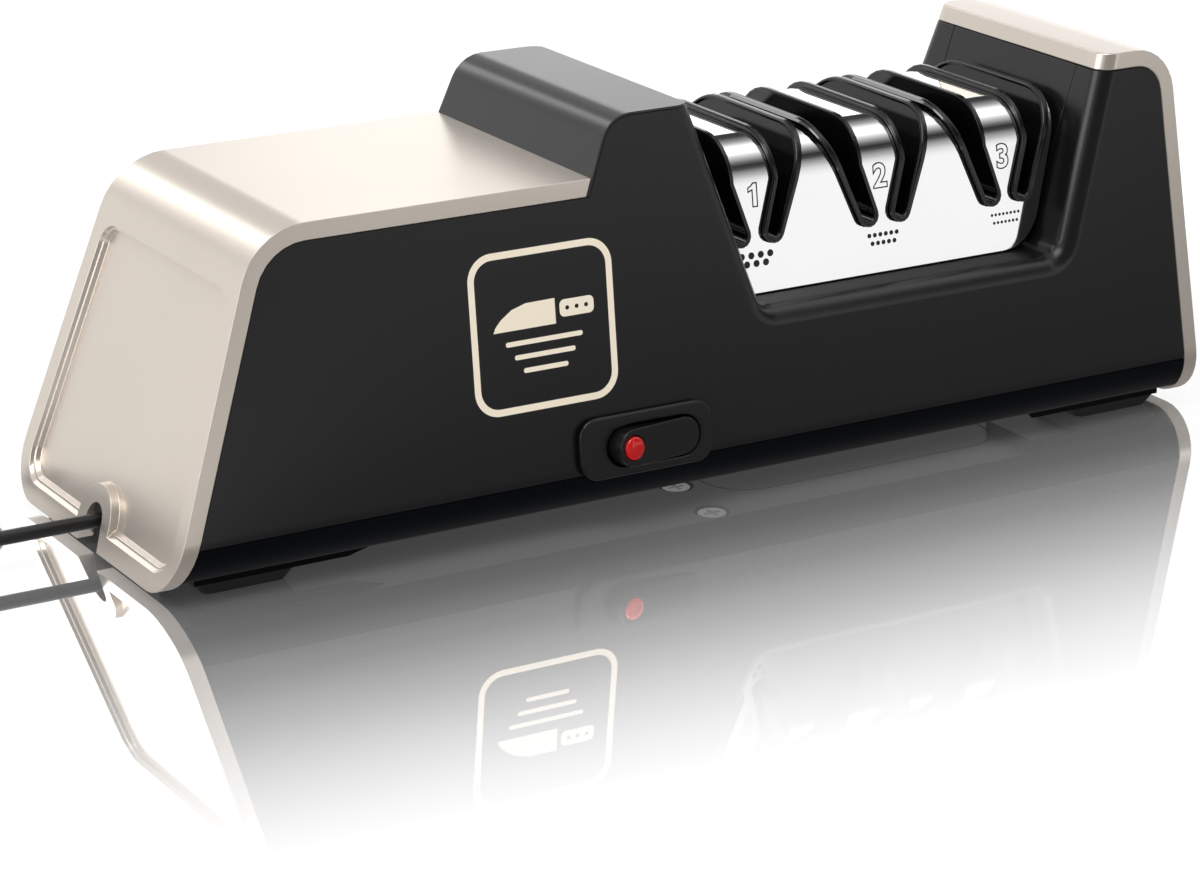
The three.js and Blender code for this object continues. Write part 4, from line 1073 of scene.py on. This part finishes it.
@dataclass
class SwitchLens:
    """Domed red lens on the raised end of the rocker, in millimetres.

    Attributes:
        slope: Rise and run of the raised end at rest.
        height: Height of the dome's foot over the lens's solid.
        skirt: How far the lens goes on below the dome's foot.
    """

    radius: float = 2.9
    rise: float = 1.15
    slope: tuple[float, float] = (4.4, 25.7)
    height: float = 1.6
    skirt: float = 1.2
    rings: int = 9
    segments: int = 40

    def build(self) -> None:
        """Makes the lens over its solid."""
        low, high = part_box("indicator_lens")
        middle = (low + high) / 2
        turn = (Matrix.Rotation(-math.atan(SIDE_LEAN), 4, "X")
                @ Matrix.Rotation(math.atan(self.slope[0] / self.slope[1]), 4, "Z")
                @ Matrix.Rotation(math.pi / 2, 4, "X")).to_3x3()
        profile = [(self.radius, -self.skirt), (self.radius, 0.0)]
        profile += [(self.radius * math.cos(math.pi / 2 * k / self.rings) ** 0.8,
                     self.rise * math.sin(math.pi / 2 * k / self.rings)) for k in range(1, self.rings)]
        rings = [[(r * c, r * s, h) for c, s in around(self.segments)] for r, h in profile]
        points, faces = tube_mesh(rings)
        out = turn @ Vector((0, 0, 1))
        deep = min((Vector(v.co) - middle).dot(out) for v in bpy.data.objects["indicator_lens"].data.vertices)
        base = middle + out * (deep + self.height * MM)
        lens = mesh_piece("switch_lens", [base + turn @ (Vector(p) * MM) for p in points], faces, LENS, "rocker")
        smoothed(lens, 50)
        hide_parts("indicator_lens")


# Studio


@dataclass(frozen=True)
class Softbox:
    """A rectangular lamp that looks at a point."""

    name: str
    place: Point
    target: Point
    size: tuple[float, float]
    power: float

    def build(self) -> None:
        """Makes the lamp."""
        lamp = bpy.data.lights.new(self.name, "AREA")
        lamp.shape = "RECTANGLE"
        lamp.size, lamp.size_y = self.size
        lamp.energy = self.power
        obj = bpy.data.objects.new(self.name, lamp)
        obj.location = self.place
        obj.rotation_euler = (Vector(self.target) - Vector(self.place)).to_track_quat("-Z", "Y").to_euler()
        bpy.context.scene.collection.objects.link(obj)


@dataclass(frozen=True)
class Slope:
    """A level that changes across a slanting line on the floor.

    Attributes:
        lean: Share of the place in Y that is added to the place in X.
        ends: Where the change starts and ends, in that sum.
        levels: The levels before and after it.
    """

    lean: float
    ends: tuple[float, float]
    levels: tuple[float, float] = (0.0, 1.0)

    def level(self, sheet: NodeSheet, x: NodeSocket, y: NodeSocket) -> NodeSocket:
        """The level's socket."""
        return sheet.span(sheet.calc("MULTIPLY_ADD", y, self.lean, x), self.ends, *self.levels)


@dataclass
class Studio:
    """Camera, pale floor, world and lamps.

    Attributes:
        camera_place: Where the camera stands; yaw, pitch and roll are degrees.
        focal_pixels: Focal length in pixels of a frame of the photograph's size.
        middle: Pixel that the lens looks at squarely.
        mirror: Share of the mirror image by nearness to the middle line, up to mirror_reach away.
        fill: Strength of the world for rough surfaces.
        wall_level, high_wall_level: What glossy surfaces see behind and to the left, low and high.
        wall_heights: Upward parts of a reflected ray between which that changes.
        front_level: Share of it that is left towards the front.
        far_level: What they see on the right, before the cards start.
        front_side, far_side, card_side: Sideways parts of the ray between which the next level takes over.
        cards: Levels round the X axis on the right, from the rear over the top to the front.
        near_floor_level: What glossy surfaces see on the floor before the object.
        near_floor, rear_floor: Places in Y between which the floor's levels change.
        far_strip, left_strip: Bright strips on that floor.
    """

    camera_place: Point = (-0.46601, -0.770605, 0.31185)
    yaw: float = 30.936
    pitch: float = 19.082
    roll: float = 0.097
    focal_pixels: float = 3715.3
    frame: tuple[int, int] = (1200, 896)
    middle: tuple[float, float] = (618.4, 451.45)
    floor_size: float = 9.0
    floor_height: float = -0.0001
    floor_glow: float = 0.2
    mirror: tuple[tuple[float, float], ...] = (
        (0.0, 0.0), (1.0, 0.9), (0.1, 0.11), (0.205, 0.224), (0.315, 0.376), (0.435, 0.57), (0.56, 0.74),
        (0.695, 0.856), (0.85, 0.9))
    mirror_reach: float = 0.2
    fill: float = 0.62
    wall_level: float = 0.95
    high_wall_level: float = 0.76
    wall_heights: tuple[float, float] = (0.15, 0.32)
    front_level: float = 0.2
    front_side: tuple[float, float] = (-0.6, -0.4)
    far_level: float = 1.65
    far_side: tuple[float, float] = (0.36, 0.41)
    card_side: tuple[float, float] = (0.475, 0.51)
    cards: tuple[tuple[float, float], ...] = (
        (0.0, 1.7), (1.0, 1.0), (0.105, 1.7), (0.13, 0.05), (0.24, 0.05), (0.28, 0.13), (0.32, 0.24),
        (0.367, 0.4), (0.41, 0.8), (0.45, 1.3), (0.55, 1.3), (0.595, 0.8), (0.64, 0.44), (0.69, 0.15),
        (0.735, 0.03), (0.78, 0.07), (0.826, 0.3), (0.87, 0.5), (0.915, 0.75), (0.96, 0.92))
    near_floor_level: float = 0.2
    near_floor: tuple[float, float] = (-0.72, -0.62)
    rear_floor: tuple[float, float] = (-0.1, 0.1)
    far_strip: tuple[Slope, Slope] = (Slope(0.61, (-0.03, 0.0)), Slope(0.7263, (0.083, 0.11), (1.0, 0.0)))
    left_strip: tuple[Slope, Slope] = (Slope(0.745, (-0.34, -0.29)),
                                       Slope(0.745, (-0.208, -0.192), (wall_level, 0.0)))
    lamps: tuple[Softbox, ...] = (
        Softbox("key", (-0.5, -0.3, 1.5), (0.0, 0.0, 0.05), (0.9, 0.9), 9.0),
        Softbox("rear", (-0.3, 1.23, 0.72), (-0.1, 0.0, 0.08), (0.26, 0.7), 1.3),
        Softbox("left", (-1.4, 0.1, 0.5), (-0.1, 0.0, 0.05), (0.8, 0.8), 6.0),
    )

    def camera(self) -> None:
        """Makes the camera at the photograph's viewpoint."""
        width, height = self.frame
        data = bpy.data.cameras.new("camera")
        data.sensor_width = 36.0
        data.lens = 36.0 * self.focal_pixels / width
        data.shift_x = -(self.middle[0] - width / 2) / width
        data.shift_y = (self.middle[1] - height / 2) / width
        data.clip_start, data.clip_end = 0.05, 50.0
        obj = bpy.data.objects.new("camera", data)
        turn = Matrix.Rotation(-math.radians(self.yaw), 4, "Z") @ Matrix.Rotation(
            math.radians(90 - self.pitch), 4, "X") @ Matrix.Rotation(math.radians(self.roll), 4, "Z")
        obj.matrix_world = Matrix.Translation(self.camera_place) @ turn
        bpy.context.scene.collection.objects.link(obj)
        bpy.context.scene.camera = obj

    @staticmethod
    def ramp(sheet: NodeSheet, stops: Sequence[tuple[float, float]], value: NodeSocket) -> NodeSocket:
        """Level between stops.

        Args:
            sheet: The sheet that the nodes go on.
            stops: Positions from 0 to 1 with their levels, the first and the last one first.
            value: Where the level is read.

        Returns:
            The level's socket.
        """
        node = sheet.add("ValToRGB", Fac=value)
        elements = node.color_ramp.elements
        for element, (position, level) in zip(elements, stops):
            element.position, element.color = position, (level, level, level, 1.0)
        for position, level in stops[2:]:
            elements.new(position).color = (level, level, level, 1.0)
        return node.outputs["Color"]

    def floor_card(self, sheet: NodeSheet, x: NodeSocket, y: NodeSocket) -> NodeSocket:
        """What glossy surfaces see on the floor: dark before the object, with bright strips, and bright behind.

        Args:
            sheet: The floor's sheet.
            x: Place on the floor in X.
            y: Place on the floor in Y.

        Returns:
            The level's socket.
        """
        far = sheet.span(y, self.near_floor, 1.0, 0.0)
        far_strip, left = (sheet.calc("MULTIPLY", *(side.level(sheet, x, y) for side in strip))
                           for strip in (self.far_strip, self.left_strip))
        front = sheet.span(sheet.calc("MULTIPLY", far_strip, far), (0.0, 1.0), self.near_floor_level, 1.0)
        behind = sheet.span(y, self.rear_floor, 0.0, self.wall_level)
        return sheet.calc("MAXIMUM", sheet.calc("MAXIMUM", front, left), behind)

    def floor(self) -> None:
        """Makes the white floor, which mirrors the object and fades to plain white away from it."""
        half = self.floor_size / 2
        mesh = bpy.data.meshes.new("floor")
        mesh.from_pydata([(-half, -half, 0), (half, -half, 0), (half, half, 0), (-half, half, 0)], [], [(0, 1, 2, 3)])
        obj = bpy.data.objects.new("floor", mesh)
        obj.location.z = self.floor_height
        bpy.context.scene.collection.objects.link(obj)
        material = bpy.data.materials.new("pale_floor")
        material.use_nodes = True
        shader = material.node_tree.nodes["Principled BSDF"]
        shader.inputs["Base Color"].default_value = (*srgb(246, 246, 247), 1.0)
        shader.inputs["Roughness"].default_value = 1.0
        shader.inputs["Specular IOR Level"].default_value = 0.0
        sheet = NodeSheet(material.node_tree)
        spot = sheet.add("SeparateXYZ", Vector=sheet.add("TexCoord").outputs["Object"]).outputs
        path = sheet.add("LightPath").outputs
        glow = sheet.add("Emission", Strength=self.floor_glow)
        lit = sheet.add("AddShader", _0=shader.outputs[0], _1=glow.outputs[0])
        glass = sheet.add("BsdfAnisotropic", Color=(1.0, 1.0, 1.0), Roughness=0.0)
        nearness = sheet.span(sheet.calc("ABSOLUTE", spot["Y"]), (self.mirror_reach, 0.0))
        seen = sheet.blend(self.ramp(sheet, self.mirror, nearness), lit, glass)
        card = sheet.add("Emission", Strength=self.floor_card(sheet, spot["X"], spot["Y"]))
        mixed = sheet.blend(path["Is Glossy Ray"], sheet.blend(path["Is Camera Ray"], shader, seen), card)
        sheet.feed(material.node_tree.nodes["Material Output"].inputs["Surface"], mixed.outputs[0])
        mesh.materials.append(material)

    def world(self) -> None:
        """Lights the scene evenly, with white behind the object."""
        world = bpy.data.worlds.new("studio")
        bpy.context.scene.world = world
        world.use_nodes = True
        sheet = NodeSheet(world.node_tree)
        background = world.node_tree.nodes["Background"]
        path = sheet.add("LightPath").outputs
        ray = sheet.add("SeparateXYZ", Vector=sheet.add("TexCoord").outputs["Generated"]).outputs
        turn = sheet.calc("ARCTAN2", sheet.calc("MAXIMUM", ray["Z"], 0.0), ray["Y"])
        cards = self.ramp(sheet, self.cards, sheet.calc("DIVIDE", turn, math.pi))
        wall = sheet.calc("MULTIPLY", sheet.span(ray["Z"], self.wall_heights, self.wall_level, self.high_wall_level),
                          sheet.span(ray["Y"], self.front_side, self.front_level, 1.0))
        back = sheet.mix(sheet.span(ray["X"], self.far_side), wall, self.far_level)
        walls = sheet.mix(sheet.span(ray["X"], self.card_side), back, cards)
        even = sheet.span(path["Is Camera Ray"], (0.0, 1.0), self.fill, 1.0)
        lit = sheet.mix(path["Is Glossy Ray"], even, walls)
        sharp = sheet.calc("MAXIMUM", path["Is Transmission Ray"], path["Is Singular Ray"])
        background.inputs["Color"].default_value = (1.0, 1.0, 1.0, 1.0)
        sheet.feed(background.inputs["Strength"], sheet.calc("MAXIMUM", lit, sharp))

    def build(self) -> None:
        """Makes the whole studio."""
        bpy.context.scene.view_settings.view_transform = "Standard"
        self.camera()
        self.floor()
        self.world()
        for lamp in self.lamps:
            lamp.build()


# Housing and works


def table(*rows: tuple[object, str]) -> dict[str, object]:
    """Values by piece, from rows of a value and the pieces that have it."""
    return {name: value for value, names in rows for name in names.split()}


@dataclass
class FrameDress:
    """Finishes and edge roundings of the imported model's own nodes.

    Attributes:
        nodes: The nodes by name.
        finishes: Finishes by node; the others are satin black, apart from the screws and the guides.
        edges: Widths of the edges' rounding in millimetres.
        edge: Width on the other nodes.
        flats: Angles below which neighbouring faces are merged first, in degrees.
        flat: Angle on the other nodes.
        free: Nodes whose rounding isn't made smaller where edges lie close together.
    """

    nodes: dict[str, Object]
    finishes: dict[str, Finish] = field(default_factory=lambda: table(
        (CHAMPAGNE, "left_cover right_cover"),
        (HUMP, "hump_cover"),
        (TRAY, "base_tray clean_out_cover capacitor"),
        (RUBBER, "foot_front_left foot_rear_left foot_front_right foot_rear_right shaft_coupling strain_relief"),
        (BRIGHT, "bright_cover"),
        (GLOSS, "slot_carrier"),
        (COARSE, "coarse_disc_left coarse_disc_right fine_disc_left fine_disc_right"),
        (RESIN, "polish_disc_left polish_disc_right"),
        (STEEL, "drive_shaft left_bearing right_bearing motor_can rotor_shaft plug_blade_1 plug_blade_2"),
        (ZINC, "left_bearing_block right_bearing_block motor_bracket"),
        (LENS, "indicator_lens"),
        (BOARD, "circuit_board"),
        (CORD_VINYL, "plug_body"),
    ))
    edges: dict[str, float] = field(default_factory=lambda: table(
        (0.6, "switch_bezel plug_body"),
        (0.5, "capacitor"),
        (0.4, "motor_can"),
        (0.35, "left_cover right_cover"),
        (0.3, "base_tray clean_out_cover rocker motor_bracket left_bearing_block right_bearing_block strain_relief"),
        (0.25, "front_panel rear_panel hump_cover"),
        (0.2, "recess_wall slot_carrier plug_blade_1 plug_blade_2"),
    ))
    edge: float = 0.15
    flats: dict[str, float] = field(default_factory=lambda: {"left_cover": 0.03})
    flat: float = 0.6
    free: tuple[str, ...] = ("switch_bezel", "rocker")

    def build(self) -> None:
        """Dresses every node that shows."""
        for name, obj in self.nodes.items():
            finish = ZINC if name.startswith("base_screw") else GLOSS if name.startswith("slot_guide") else None
            dressed(obj, finish or self.finishes.get(name, BLACK))
            edged(obj, self.edges.get(name, self.edge), self.flats.get(name, self.flat), clamp=name not in self.free)
        log.info("dressed %d nodes", len(self.nodes))


def main() -> None:
    """Builds the studio, the cord and the looks in order."""
    logging.basicConfig(level=logging.INFO, format="%(message)s")
    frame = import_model()
    EffectShelf().build()
    for finish in FINISHES:
        finish.build()
    Studio().build()
    Cord(
        lead=[(x, SHIFT, z) for x, z in (
            (-0.14558, 0.008), (-0.152, 0.008), (-0.160, 0.008), (-0.168, 0.008), (-0.176, 0.0079),
            (-0.184, 0.0069), (-0.192, 0.0049), (-0.200, 0.003), (-0.208, 0.00195), (-0.216, 0.00175),
            (-0.224, 0.00175), (-0.230, 0.00175), (-0.2362, 0.00175))],
        tail=[(x, SHIFT + COIL_TAIL, z) for x, z in (
            (-0.2362, 0.01405), (-0.232, 0.01405), (-0.226, 0.0136), (-0.219, 0.0116), (-0.211, 0.0087),
            (-0.206, 0.0076), (-0.2028, 0.0075))],
    ).build()
    FrameDress(frame["nodes"]).build()
    rims = SlotRims()
    rims.build()
    PrintedMarks().build(rims)
    SwitchLens().build()


if __name__ == "__main__":
    main()
